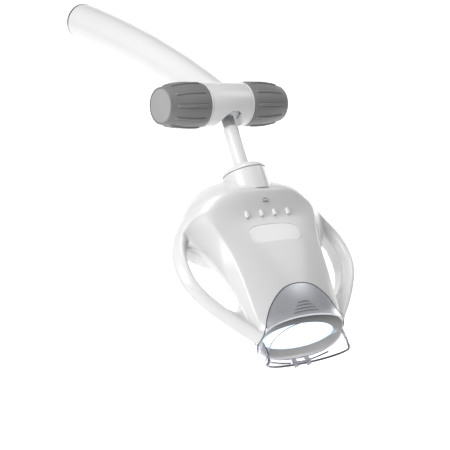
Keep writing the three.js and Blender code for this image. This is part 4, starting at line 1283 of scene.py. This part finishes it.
@dataclass
class Head:
    """The two shells, the silver nose, its light and the controls."""

    form: HeadForm = field(default_factory=HeadForm)
    port: Port = field(default_factory=Port)
    gap: float = 0.3
    voxel: float = 0.95
    easing: int = 9
    hole_top: float = 139.3
    hole_bottom: float = 210.6
    hole_wall: float = 4.6
    hole_narrowing: float = 4.5
    hole_leans: tuple[float, float] = (0.32, 1.05)
    shell_wall: float = 3.4
    neck_bore: float = 22.15
    neck_foot: float = 98.5
    nose_drop: float = 246.0
    # What is left of the throat's colour at its top, under the painted shade.
    throat_share: float = 0.02
    seal_depth: float = 0.15
    seal_radius: float = 0.5
    ridge_halves: tuple[float, ...] = (8.0, 11.0, 14.0, 16.5)
    ridge_drop: float = 219.6
    ridge_pitch: float = 3.0
    ridge_bow: float = 0.9
    ridge_sink: float = 0.15
    ridge_tip: float = 0.12
    ridge_swell: float = 0.6
    lens_margin: float = 0.9
    lens_dome: float = 0.55
    key_places: tuple[float, ...] = (-25.6, -8.1, 8.1, 25.6)
    key_drop: float = 124.0
    key_size: tuple[float, float] = (3.4, 7.0)
    key_proud: float = 2.2
    key_foot: float = 12.6
    key_corner: float = 1.55
    key_edge: float = 0.8
    light_drop: float = 112.5
    light_size: tuple[float, float] = (7.0, 3.2)
    light_proud: float = 1.0
    light_foot: float = 14.6
    label_drop: float = 146.5
    label_size: tuple[float, float] = (31.0, 9.5)
    hood_plan: tuple[Pair, ...] = (
        (0.0, 201.0), (8.0, 201.5), (16.5, 203.5), (22.5, 206.4), (28.0, 210.0), (33.0, 214.3), (37.0, 218.6),
        (41.0, 224.2), (44.5, 230.2), (48.0, 237.0), (50.6, 242.5), (53.5, 248.5), (56.0, 254.0),
    )
    vents: int = 6
    vent_drop: float = 128.0
    vent_pitch: float = 6.0
    vent_size: tuple[float, float] = (32.0, 2.6)
    screw_places: tuple[Pair, ...] = ((49.8, 113.6), (40.3, 219.53))
    screw_hole: float = 3.3
    screw_head: float = 3.0
    screw_shank: float = 1.6
    screw_tip: float = 24.15

    def hand_hole(self, side: int, margin: float = 0.0) -> Mesh:
        """The cutter of one handle's opening, which widens inwards behind the parting line.

        Args:
            side: -1 for the left handle, 1 for the right one.
            margin: How far past the opening the cutter reaches.

        Returns:
            The cutter.
        """
        steps = 30
        low, high = self.hole_top - margin, self.hole_bottom + margin
        inner, outer, widths = [], [], []
        for step in range(steps + 1):
            share = (1 - math.cos(math.pi * step / steps)) / 2
            drop = low + (high - low) * share
            body = hermite(self.form.side_wall, drop)[0] - margin
            rim = hermite(self.form.outline, drop)[0] - self.form.handle_width - self.hole_narrowing * share
            to_end = min(share, 1 - share) / 0.22
            opening = (rim - body) / 2 * math.sqrt(max(0.0, 1 - max(0.0, 1 - to_end) ** 2))
            widths.append(min(1.0, to_end))
            inner.append((side * ((rim + body) / 2 - opening), -drop))
            outer.append((side * ((rim + body) / 2 + opening), -drop))
        ring, split = [*inner, *reversed(outer[1:-1])], self.form.parting
        lean = [*widths, *[0.0] * (steps - 1)]
        front, rear = self.hole_leans
        near = self.leaning(ring, [side * front * share for share in lean], split + 0.5, split - 60.0)
        far = self.leaning(ring, [-side * rear * share for share in lean], split - 0.5, split + 40.0)
        return carve(near, far, Cut.JOIN)

    def leaning(self, ring: Sequence[Pair], slants: Sequence[float], start: float, end: float) -> Mesh:
        """A prism whose far outline leans across.

        Args:
            ring: The outline at the start.
            slants: How far each point moves across for each millimetre of depth.
            start: The depth where it starts.
            end: The depth where it ends.

        Returns:
            The closed mesh.
        """
        bm = prism(ring, start, end)
        bm.verts.ensure_lookup_table()
        spots = {(round(x, 3), round(z, 3)): slant for (x, z), slant in zip(ring, slants)}
        for vert in bm.verts:
            if abs(vert.co.y - end) < 1e-4:
                vert.co.x += spots[(round(vert.co.x, 3), round(vert.co.z, 3))] * abs(end - start)
        face_outwards(bm)
        return bm

    def hood_region(self, margin: float) -> Mesh:
        """Everything that the silver nose covers.

        Args:
            margin: How far past the nose's edge it reaches.

        Returns:
            The closed mesh.
        """
        steps = 72
        smooth = [hermite([(number, *spot) for number, spot in enumerate(self.hood_plan)],
                          (len(self.hood_plan) - 1) * step / steps) for step in range(steps + 1)]
        right = [(0.0, margin - smooth[0][1])]
        right += [(x + margin, margin - drop) for x, drop in smooth if x > 0.3]
        edge = right[-1][1]
        outline = [*right, (120.0, edge), (120.0, -360.0)]
        left = [(-x, height) for x, height in reversed(outline[1:])]
        front = prism([(0.0, right[0][1]), *outline[1:], *left], -120.0, self.form.parting)
        behind = block((-120, self.form.parting - 1, -360), (120, 240, margin - self.nose_drop))
        return carve(front, behind, Cut.JOIN)

    def build(self) -> None:
        """Builds every piece of the head."""
        whole = self.form.solid()
        for side in (-1, 1):
            whole = carve(whole, self.hand_hole(side), Cut.TAKE)
        whole = revoxel(whole, self.voxel, self.easing)
        hollow = self.form.solid(self.shell_wall, False, 60, 24, 74.0, 268.0)
        for side in (-1, 1):
            hollow = carve(hollow, self.hand_hole(side, self.hole_wall), Cut.TAKE)
        shell = carve(whole.copy(), hollow, Cut.TAKE)
        raked = Matrix.Rotation(math.radians(STANCE.head_rake), 4, "X")
        shell = carve(shell, moved(rod(self.neck_bore, -self.neck_foot, 0, 128), raked), Cut.TAKE)
        shell = carve(shell, self.hood_region(self.gap), Cut.TAKE)
        tunnel = (self.port.seat_width + 3.0, self.port.seat_height + 2.4, self.port.seat_fall)
        shell = carve(shell, self.port.funnel([(*tunnel, -10.0), (*tunnel, 8.0)]), Cut.TAKE)
        self.front(shell.copy())
        self.back(shell)
        self.nose(whole)
        self.controls()
        self.collar()

    def front(self, shell: Mesh) -> None:
        """The front shell, with its openings and the recess of the label."""
        split = self.form.parting - 0.2
        shell = carve(shell, block((-120, -120, -360), (120, split, 0)), Cut.KEEP)
        holes = [stadium(self.key_size[0] + 0.7, self.key_size[1] + 0.7, x, self.key_drop)
                 for x in self.key_places]
        holes.append(stadium(self.light_size[0] + 0.5, self.light_size[1] + 0.5, 0, self.light_drop))
        for hole in holes:
            shell = carve(shell, prism(hole, -60, 30), Cut.TAKE)
        shell = carve(shell, self.label_solid(0.18, 1.3, 40.0), Cut.TAKE)
        place("front_housing", shell, STANCE.head, Body.HEAD, WHITE, ["front_shell"], 38)

    def label_solid(self, margin: float, inset: float, lift: float) -> Mesh:
        """The label's plate, or its recess, following the face.

        Args:
            margin: How far past the label's edge it reaches.
            inset: How deep under the face its floor lies.
            lift: How far out of the floor it stands.

        Returns:
            The closed mesh.
        """
        half_w, half_h = self.label_size[0] + margin, self.label_size[1] + margin
        bm = bmesh.new()
        bmesh.ops.create_grid(bm, x_segments=40, y_segments=16, size=1.0)
        for vert in bm.verts:
            u, v = vert.co.x, vert.co.y
            squeeze = (1 - 0.10 * abs(v) ** 3.5, 1 - 0.20 * abs(u) ** 5)
            x, drop = u * half_w * squeeze[0], self.label_drop - v * half_h * squeeze[1] - 1.2 * (1 - u * u)
            vert.co = (x, self.form.face_depth(x, drop) + inset, -drop)
        face_outwards(bm)
        grown = bmesh.ops.extrude_face_region(bm, geom=list(bm.faces))
        lifted = [part for part in grown["geom"] if isinstance(part, bmesh.types.BMVert)]
        bmesh.ops.translate(bm, vec=(0, -lift, 0), verts=lifted)
        bmesh.ops.recalc_face_normals(bm, faces=bm.faces)
        return bm

    def back(self, shell: Mesh) -> None:
        """The rear shell, with its vents and screw holes."""
        split = self.form.parting + 0.2
        shell = carve(shell, block((-120, split, -360), (120, 240, 0)), Cut.KEEP)
        for number in range(self.vents):
            middle = self.vent_drop + (number - (self.vents - 1) / 2) * self.vent_pitch
            shell = carve(shell, prism(stadium(*self.vent_size, 0, middle), 50.6, 120), Cut.TAKE)
        for side in (-1, 1):
            for across, drop in self.screw_places:
                where = Matrix.Translation((side * across, 0, -drop)) @ Matrix.Rotation(math.pi / 2, 4, "X")
                shell = carve(shell, moved(rod(self.screw_hole, -120, -split - 2.4, 40), where), Cut.TAKE)
        place("rear_housing", shell, STANCE.head, Body.HEAD, WHITE, ["rear_shell"], 38)

    def nose(self, whole: Mesh) -> None:
        """The silver nose with its grip ridges, the dark line in its joint and the lit lens.

        Args:
            whole: The head's form with its hand holes.
        """
        port = self.port
        hood = carve(whole, self.hood_region(0.0), Cut.KEEP)
        behind = moved(block((-200, -200, 0), (200, 200, 400)), port.frame)
        hood = carve(hood, behind, Cut.KEEP)
        throat = port.funnel([
            (port.half_width + 5, port.half_height + 5, 0, -3),
            (port.half_width + 3.4, port.half_height + 3.2, 0, 0.6),
            (port.half_width + 1.6, port.half_height + 1.2, 0.3, 1.9),
            (port.half_width - 0.6, port.half_height - 2.4, 1.2, 3.6),
            (port.seat_width + 1.2, port.seat_height + 2.0, 2.0, 5.0),
            (port.seat_width, port.seat_height, port.seat_fall, port.recess),
            (port.seat_width, port.seat_height, port.seat_fall, port.recess + 0.4),
        ])
        throat = carve(throat, self.form.solid(1.3, True, 90, 60, 190.0, 276.0), Cut.KEEP)
        hood = carve(hood, throat, Cut.TAKE)
        seat = port.funnel([
            (port.seat_width + 1.2, port.seat_height + 1.2, port.seat_fall, port.recess + 0.2),
            (port.seat_width + 1.2, port.seat_height + 1.2, port.seat_fall, 60.0),
        ])
        hood = carve(hood, seat, Cut.TAKE)
        made = place("silver_nose", hood, STANCE.head, Body.HEAD, SILVER, ["silver_hood"], 38)
        self.shade_throat(made)
        self.ridges()
        place("nose_seal", self.seal(), STANCE.head, Body.HEAD, SEAL.material("seal"))
        self.lens()

    def shade_throat(self, hood: bpy.types.Object) -> None:
        """Gives the inner wall of the mouth a finish with painted shade, darker towards its top.

        Args:
            hood: The silver nose.
        """
        dark = THROAT.material("throat")
        wide, high = self.port.half_width, self.port.half_height
        placed = Matrix.Scale(MM, 4) @ STANCE.head @ self.port.frame
        low, top = [(placed @ Vector((0, side * high, 0))).z for side in (1, -1)]
        paint_shade_upwards(dark, low, top, self.throat_share)
        hood.data.materials.append(dark)
        back = placed.inverted()
        for face in hood.data.polygons:
            spot, outwards = back @ face.center, back.to_3x3() @ face.normal
            inwards = -spot.x / wide ** 2 * outwards.x - spot.y / high ** 2 * outwards.y
            if -0.3 < spot.z < self.port.recess + 1.5 and inwards > 0:
                face.material_index = 1

    def seal(self) -> Mesh:
        """The dark line in the joint between the silver nose and the shell."""
        table = [(number, *spot) for number, spot in enumerate(self.hood_plan)]
        span = len(self.hood_plan) - 1

        def line(share: float) -> Vector:
            """The joint's place on the face."""
            x, drop = hermite(table, span * abs(2 * share - 1))
            x = max(0.0, x)
            depth = self.form.face_depth(x, drop) + self.seal_depth
            return Vector((math.copysign(x, share - 0.5), depth, -drop))

        return swept(line, lambda share: self.seal_radius, Vector((0, 1, 0)), 120, 10)

    def ridges(self) -> None:
        """The low grip ridges above the light's mouth, dark with painted shade."""

        def thickness(share: float) -> float:
            """A ridge's radius, fading at its ends."""
            return self.ridge_tip + self.ridge_swell * math.sqrt(max(0.0, 1 - (2 * share - 1) ** 2))

        bars = []
        for number, half in enumerate(self.ridge_halves):
            drop = self.ridge_drop + self.ridge_pitch * number

            def line(share: float, drop: float = drop, half: float = half) -> Vector:
                """The ridge's centre line on the face."""
                x = (2 * share - 1) * half
                fall = drop + self.ridge_bow * (x / half) ** 2
                return Vector((x, self.form.face_depth(x, fall) + self.ridge_sink, -fall))

            bars.append(swept(line, thickness, Vector((0, 0, 1)), 24, 10))
        place("nose_ridges_painted_shade", merged(bars), STANCE.head, Body.HEAD, RIDGE_PAINTED_SHADE.material("ridge"))

    def lens(self) -> None:
        """The lit lens, domed a little towards the mouth."""
        port = self.port
        wide, high = port.seat_width + self.lens_margin, port.seat_height + self.lens_margin
        fall, near, far = port.seat_fall, port.recess + 0.3, port.recess + 2.3
        shares = (1.0, 0.92, 0.8, 0.62, 0.42, 0.2)
        rings = [(wide, high, fall, far)] + [
            (wide * share, high * share, fall, near - self.lens_dome * math.sqrt(1 - share ** 2))
            for share in shares
        ]
        bm = port.funnel(rings)
        middle = STANCE.head @ port.frame @ Vector((0, fall, near))
        tilt = math.radians(90 - STANCE.stem_tilt - STANCE.head_rake - port.tilt)
        material = GLOW.material(middle * MM, wide * MM, high * MM, tilt)
        place("lit_lens", bm, STANCE.head, Body.HEAD, material, ["light_diffuser"], 50)

    def controls(self) -> None:
        """The keys, the status light, the blank label and the screws."""
        wide, high = self.key_size
        for number, x in enumerate(self.key_places):
            tall = self.key_foot - (self.form.face_depth(x, self.key_drop) - self.key_proud)
            bm = block((-wide / 2, -tall / 2, -high / 2), (wide / 2, tall / 2, high / 2))
            uprights = [edge for edge in bm.edges if abs(edge.verts[0].co.y - edge.verts[1].co.y) > 1]
            soften(bm, uprights, self.key_corner, 8)
            rim = [edge for edge in bm.edges if all(vert.co.y < 0 for vert in edge.verts)]
            soften(bm, rim, self.key_edge, 5)
            bmesh.ops.translate(bm, vec=(x, self.key_foot - tall / 2, -self.key_drop), verts=bm.verts)
            place(f"key_bar_{number + 1}", bm, STANCE.head, f"key_cap_{number + 1}", WHITE,
                  [f"key_{number + 1}"])
        depth = self.form.face_depth(0, self.light_drop) - self.light_proud
        dome = prism(stadium(*self.light_size, 0, self.light_drop), depth, self.light_foot)
        rim = [edge for edge in dome.edges if all(abs(vert.co.y - depth) < 0.01 for vert in edge.verts)]
        soften(dome, rim, 0.7, 4)
        place("status_light", dome, STANCE.head, Body.HEAD, FROSTED.material("frosted"),
              ["status_indicator"])
        plate = self.label_solid(0.0, 1.1, 0.85)
        place("blank_label", plate, STANCE.head, Body.HEAD, LABEL.material("label"),
              ["label_plate"], 25)
        for number, (side, spot) in enumerate([(side, spot) for side in (-1, 1) for spot in (0, 1)]):
            across, drop = self.screw_places[spot]
            self.screw(number + 1, side * across, drop)

    def screw(self, number: int, across: float, drop: float) -> None:
        """One screw in the rear shell, with a cross recess in its head.

        Args:
            number: Which screw it is, from 1.
            across: Its distance across, negative on the left.
            drop: Its distance down.
        """
        seat = self.form.parting + 0.15 + 2.7
        end = seat + 2.2
        bm = turned(rounded([
            (0, -end, 0), (self.screw_head, -end, 0.9), (self.screw_head, -seat, 0.1),
            (self.screw_shank, -seat, 0), (self.screw_shank, -self.screw_tip, 0), (0, -self.screw_tip, 0),
        ], 4), 40)
        for turn in (0, 90):
            bar = block((-1.9, -0.35, -seat - 3), (1.9, 0.35, -seat - 1.1))
            bm = carve(bm, moved(bar, Matrix.Rotation(math.radians(turn + 20 * number), 4, "Z")), Cut.TAKE)
        where = STANCE.head @ Matrix.Translation((across, 0, -drop)) @ Matrix.Rotation(math.pi / 2, 4, "X")
        place(f"housing_screw_{number}", bm, where, Body.HEAD, STEEL, [f"shell_screw_{number}"])

    def collar(self) -> None:
        """The collar that joins the head to its stem."""
        top, bottom, shelf, under = 75.5, 98.2, 82.0, 84.4
        hole, inner, outer = 9, 19, 22
        bm = turned(rounded([
            (inner, -top, 0), (inner, -shelf, 0), (hole, -shelf, 0), (hole, -under, 0), (inner, -under, 0),
            (inner, -bottom, 0), (outer, -bottom, 0), (outer, -top, 0.7), (inner, -top, 0),
        ], 5), 128)
        place("swivel_collar", bm, STANCE.stem, Body.HEAD, WHITE, ["neck_collar"])


@dataclass
class LightGuide:
    """The clear guide that slips over the nose, its clip and the bead inside its mouth."""

    head: Head
    wall: float = 2.0
    clearance: float = 0.35
    lip_drop: float = 266.5
    side_depth: float = 29.5
    overlap: float = 4.0
    hold_depth: float = 33.0
    rim_radius: float = 1.05
    slit_radius: float = 0.75
    bead_radius: float = 0.5
    hook_across: float = 8.0
    hook_half: float = 1.1

    def build(self) -> None:
        """Builds the guide with its rim, slits, clip and bead."""
        form = self.head.form
        outer = form.solid(-self.clearance - self.wall, True, 120, 72, 190.0, 276.0)
        inner = form.solid(-self.clearance, True, 120, 72, 186.0, 276.0)
        inner = moved(inner, Matrix.Translation((0, 0, -1.5)))
        band = carve(outer, inner, Cut.TAKE)
        band = carve(band, block((-120, -60, -self.lip_drop), (120, 120, -201)), Cut.KEEP)
        below = moved(block((-200, -200, -200), (200, 200, -0.4)), self.head.port.frame)
        hold = moved(block((-200, -200, -50), (200, 200, self.overlap)), self.head.port.frame)
        hold = carve(hold, block((-120, self.hold_depth, -300), (120, 120, 0)), Cut.KEEP)
        band = carve(band, carve(below, hold, Cut.JOIN), Cut.KEEP)
        band = carve(band, block((-120, -160, -360), (120, self.side_depth, 0)), Cut.TAKE)
        place("clear_guide", band, STANCE.head, Body.GUIDE, CLEAR, ["light_guide"], 40)
        # The rim and the slit edges are dark with painted shade.
        edges = merged([self.rim(), self.slit(-1), self.slit(1)])
        place("guide_rim_painted_shade", edges, STANCE.head, Body.GUIDE, RIM_PAINTED_SHADE.material("rim"))
        place("guide_bead_painted_highlight", self.bead(), STANCE.head, Body.GUIDE, BEAD_PAINTED_HIGHLIGHT.material("bead"))
        place("guide_clip", merged(self.clip()), STANCE.head, Body.GUIDE, FROSTED.material("frosted"))

    def slit(self, side: int) -> Mesh:
        """The edge of one slit beside the clip, as a thin dark line on the lower wall. The slit is real; its
        darkness is painted shade, as on the rim.

        Args:
            side: -1 for the left slit, 1 for the right one.

        Returns:
            The closed mesh.
        """
        form, inset = self.head.form, -self.clearance - self.wall

        def line(share: float) -> Vector:
            """The slit's centre line."""
            x, drop = 10.0 + 27.0 * share, 263.5 - 3.5 * share
            row = form.skin(drop, 60, inset, True)
            height = min((point for point in row if point[1] < 0), key=lambda point: abs(point[0] - x))[1]
            return Vector((side * x, form.parting - height, -drop))

        return swept(line, lambda share: self.slit_radius, Vector((0, 0, 1)), 12, 8)

    def rim(self) -> Mesh:
        """The thickened edge round the guide, painted dark as shade for the light that its clear edge bends
        away.
        """
        form, inset = self.head.form, -self.clearance - self.wall / 2
        low = form.skin(self.lip_drop - 0.6, 80, inset, True)
        half = [Vector((x, form.parting - height, 0.6 - self.lip_drop)) for x, height in low
                if form.parting - height > self.side_depth + 0.4]
        corner = half[0]
        steps = 6
        up = [Vector((corner.x - 0.4 * step / steps, self.side_depth + 0.6,
                      -246.5 - (self.lip_drop - 248.0) * step / steps)) for step in range(steps)]
        side = [*up, *half]
        line = [*side, *[Vector((-spot.x, spot.y, spot.z)) for spot in reversed(side[:-1])]]
        for _ in range(10):
            line = [line[0], *[(a + b * 2 + c) / 4 for a, b, c in zip(line, line[1:], line[2:])], line[-1]]
        table = [(number / (len(line) - 1), *spot) for number, spot in enumerate(line)]
        return swept(lambda share: Vector(hermite(table, share)), lambda share: self.rim_radius,
                     Vector((0, 0.2, 1)), 160, 10)

    def clip(self) -> list[Mesh]:
        """The two hooks of the clip and the bar between them."""
        floor, lip = self.head.form.parting + 13.1 + self.clearance + 1.0, -self.lip_drop
        parts = []
        for middle in (-self.hook_across, self.hook_across):
            hook = block((middle - self.hook_half, floor - 5, lip - 3),
                         (middle + self.hook_half, floor, lip + 6))
            soften(hook, hook.edges, 0.5, 3)
            parts.append(hook)
        bar = block((-7, floor - 5, lip), (7, floor - 3.2, lip + 1.8))
        soften(bar, bar.edges, 0.4, 3)
        return [*parts, bar]

    def bead(self) -> Mesh:
        """The thin arch inside the mouth: the guide's real front edge, its colour a painted highlight along
        that clear edge.
        """
        port = self.head.port

        def line(share: float) -> Vector:
            """The arch's centre line."""
            angle = math.pi * (0.995 - 0.465 * share)
            rise = math.sin(angle) ** 0.6
            return port.frame @ Vector((48.6 * math.cos(angle), 17.0 - 31.5 * rise, -9.0 + 9.5 * share))

        return swept(line, lambda share: self.bead_radius, Vector((0, -1, 0.3)), 60, 12)


@dataclass
class Studio:
    """The pale stage, the soft lights and the camera."""

    eye: Vector = field(default_factory=lambda: Vector((-0.783869, -1.272139, -0.052248)))
    azimuth: float = -38.0
    elevation: float = 7.1
    roll: float = 0.1
    lens: float = 101.6
    floor: float = -0.62
    floor_half: float = 4.0
    bend_start: float = 2.0
    panels: tuple[tuple[str, tuple[float, float, float], float, float], ...] = (
        # name, place, size in metres, power in watts
        ("top_panel", (-0.3, -0.4, 1.0), 0.7, 7.2),
        ("nose_panel", (1.0, -0.85, 0.85), 0.6, 2.8),
        ("left_panel", (-1.62, -0.66, 0.40), 0.8, 20.0),
        ("right_panel", (1.4, 0.1, 0.2), 0.9, 4.5),
    )
    aim: tuple[float, float, float] = (0.0, -0.3, -0.2)
    ambient: float = 0.12

    def build(self) -> None:
        """Sets the stage, the lights and the camera."""
        self.sweep()
        for panel in self.panels:
            self.light(*panel)
        world = bpy.data.worlds.new("studio")
        bpy.context.scene.world = world
        world.use_nodes = True
        background = world.node_tree.nodes["Background"]
        background.inputs["Color"].default_value = (1.0, 1.0, 1.0, 1.0)
        background.inputs["Strength"].default_value = self.ambient
        self.camera()
        bpy.context.scene.view_settings.view_transform = "Standard"

    def sweep(self) -> None:
        """The floor, curved up into a backdrop, with a glow that grows away from the camera."""
        bm = bmesh.new()
        bmesh.ops.create_grid(bm, x_segments=8, y_segments=60, size=self.floor_half)
        for vert in bm.verts:
            bend = vert.co.y - self.bend_start
            if bend > 0:
                angle = min(math.pi / 2, bend)
                rest = max(0.0, bend - math.pi / 2)
                vert.co.y = self.bend_start + math.sin(angle)
                vert.co.z = 1 - math.cos(angle) + rest * 3
        turn = Matrix.Rotation(math.radians(self.azimuth), 3, "Z")
        bmesh.ops.rotate(bm, cent=(0, 0, 0), matrix=turn, verts=bm.verts)
        bmesh.ops.translate(bm, vec=(0, 0, self.floor), verts=bm.verts)
        for face in bm.faces:
            face.smooth = True
        floor = as_object("stage_sweep", bm)
        paper = Graph.begun("stage_paper", {
            "Base Color": (0.93, 0.93, 0.93, 1.0), "Roughness": 0.9, "Emission Color": (1.0, 1.0, 1.0, 1.0),
        })
        spot = paper.node("TexCoord")
        away = paper.node("VectorMath", {1: (0.616, 0.788, 0.0)}, operation="DOT_PRODUCT")
        paper.link(spot, "Object", away, 0)
        glow = paper.node("MapRange", {"From Min": -0.7, "From Max": 0.5, "To Min": 0.2, "To Max": 0.8})
        paper.link(away, "Value", glow, "Value")
        paper.link(glow, "Result", paper.shader, "Emission Strength")
        floor.data.materials.append(paper.made)

    def light(self, name: str, at: tuple[float, float, float], size: float, power: float) -> None:
        """A square soft light aimed at the lamp.

        Args:
            name: The light's name.
            at: Where it stands.
            size: Its side in metres.
            power: Its power in watts.
        """
        data = bpy.data.lights.new(name, "AREA")
        data.size, data.energy = size, power
        thing = bpy.data.objects.new(name, data)
        bpy.context.scene.collection.objects.link(thing)
        thing.location = at
        towards = Vector(self.aim) - Vector(at)
        thing.rotation_euler = towards.to_track_quat("-Z", "Y").to_euler()

    def camera(self) -> None:
        """The camera at the photograph's angle."""
        data = bpy.data.cameras.new("view")
        data.sensor_width, data.lens = 36.0, self.lens
        data.clip_end = 30.0
        thing = bpy.data.objects.new("view", data)
        bpy.context.scene.collection.objects.link(thing)
        side, rise = math.radians(self.azimuth), math.radians(self.elevation)
        back = Vector((math.sin(side) * math.cos(rise), -math.cos(side) * math.cos(rise), math.sin(rise)))
        right = Vector((math.cos(side), math.sin(side), 0))
        up = back.cross(right)
        spin = math.radians(self.roll)
        right, up = math.cos(spin) * right + math.sin(spin) * up, math.cos(spin) * up - math.sin(spin) * right
        thing.matrix_world = Matrix.Translation(self.eye) @ Matrix((right, up, back)).transposed().to_4x4()
        bpy.context.scene.camera = thing


INNER: dict[str, Finish] = {
    "hub_axle": STEEL, "left_disc_spring": STEEL, "right_disc_spring": STEEL, "left_friction_disc": FIBRE,
    "right_friction_disc": FIBRE, "left_knob_nut": BRASS, "right_knob_nut": BRASS, "swivel_washer": STEEL,
    "stem_nut": BRASS, "swivel_bush": SILICONE, "key_mat": SILICONE, "control_board": BOARD,
    "driver_board": BOARD, "fan_frame": BLACK, "fan_rotor": BLACK, "light_reflector": SILVER,
    "led_board": CHIPS, "heat_sink": ALUMINIUM,
}


def dress_inner(nodes: dict[str, bpy.types.Object]) -> None:
    """Gives the inner pieces that are carried over their finishes.

    Args:
        nodes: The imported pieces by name.
    """
    for name, finish in INNER.items():
        nodes[name].data.materials.clear()
        nodes[name].data.materials.append(finish.material())


def main() -> None:
    """Builds the lamp and the studio, and logs each step."""
    logging.basicConfig(level=logging.INFO, format="%(name)s: %(message)s")
    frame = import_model()
    head = Head()
    steps: list[tuple[str, Callable[[], None]]] = [
        ("arm", Arm().build),
        ("left knob", TensionKnob(-1, Body.LEFT_KNOB).build),
        ("right knob", TensionKnob(1, Body.RIGHT_KNOB).build),
        ("stem", Stem().build),
        ("head", head.build),
        ("light guide", LightGuide(head).build),
        ("inner pieces", lambda: dress_inner(frame["nodes"])),
        ("studio", Studio().build),
    ]
    for name, build in steps:
        build()
        LOG.info("built the %s", name)


if __name__ == "__main__":
    main()
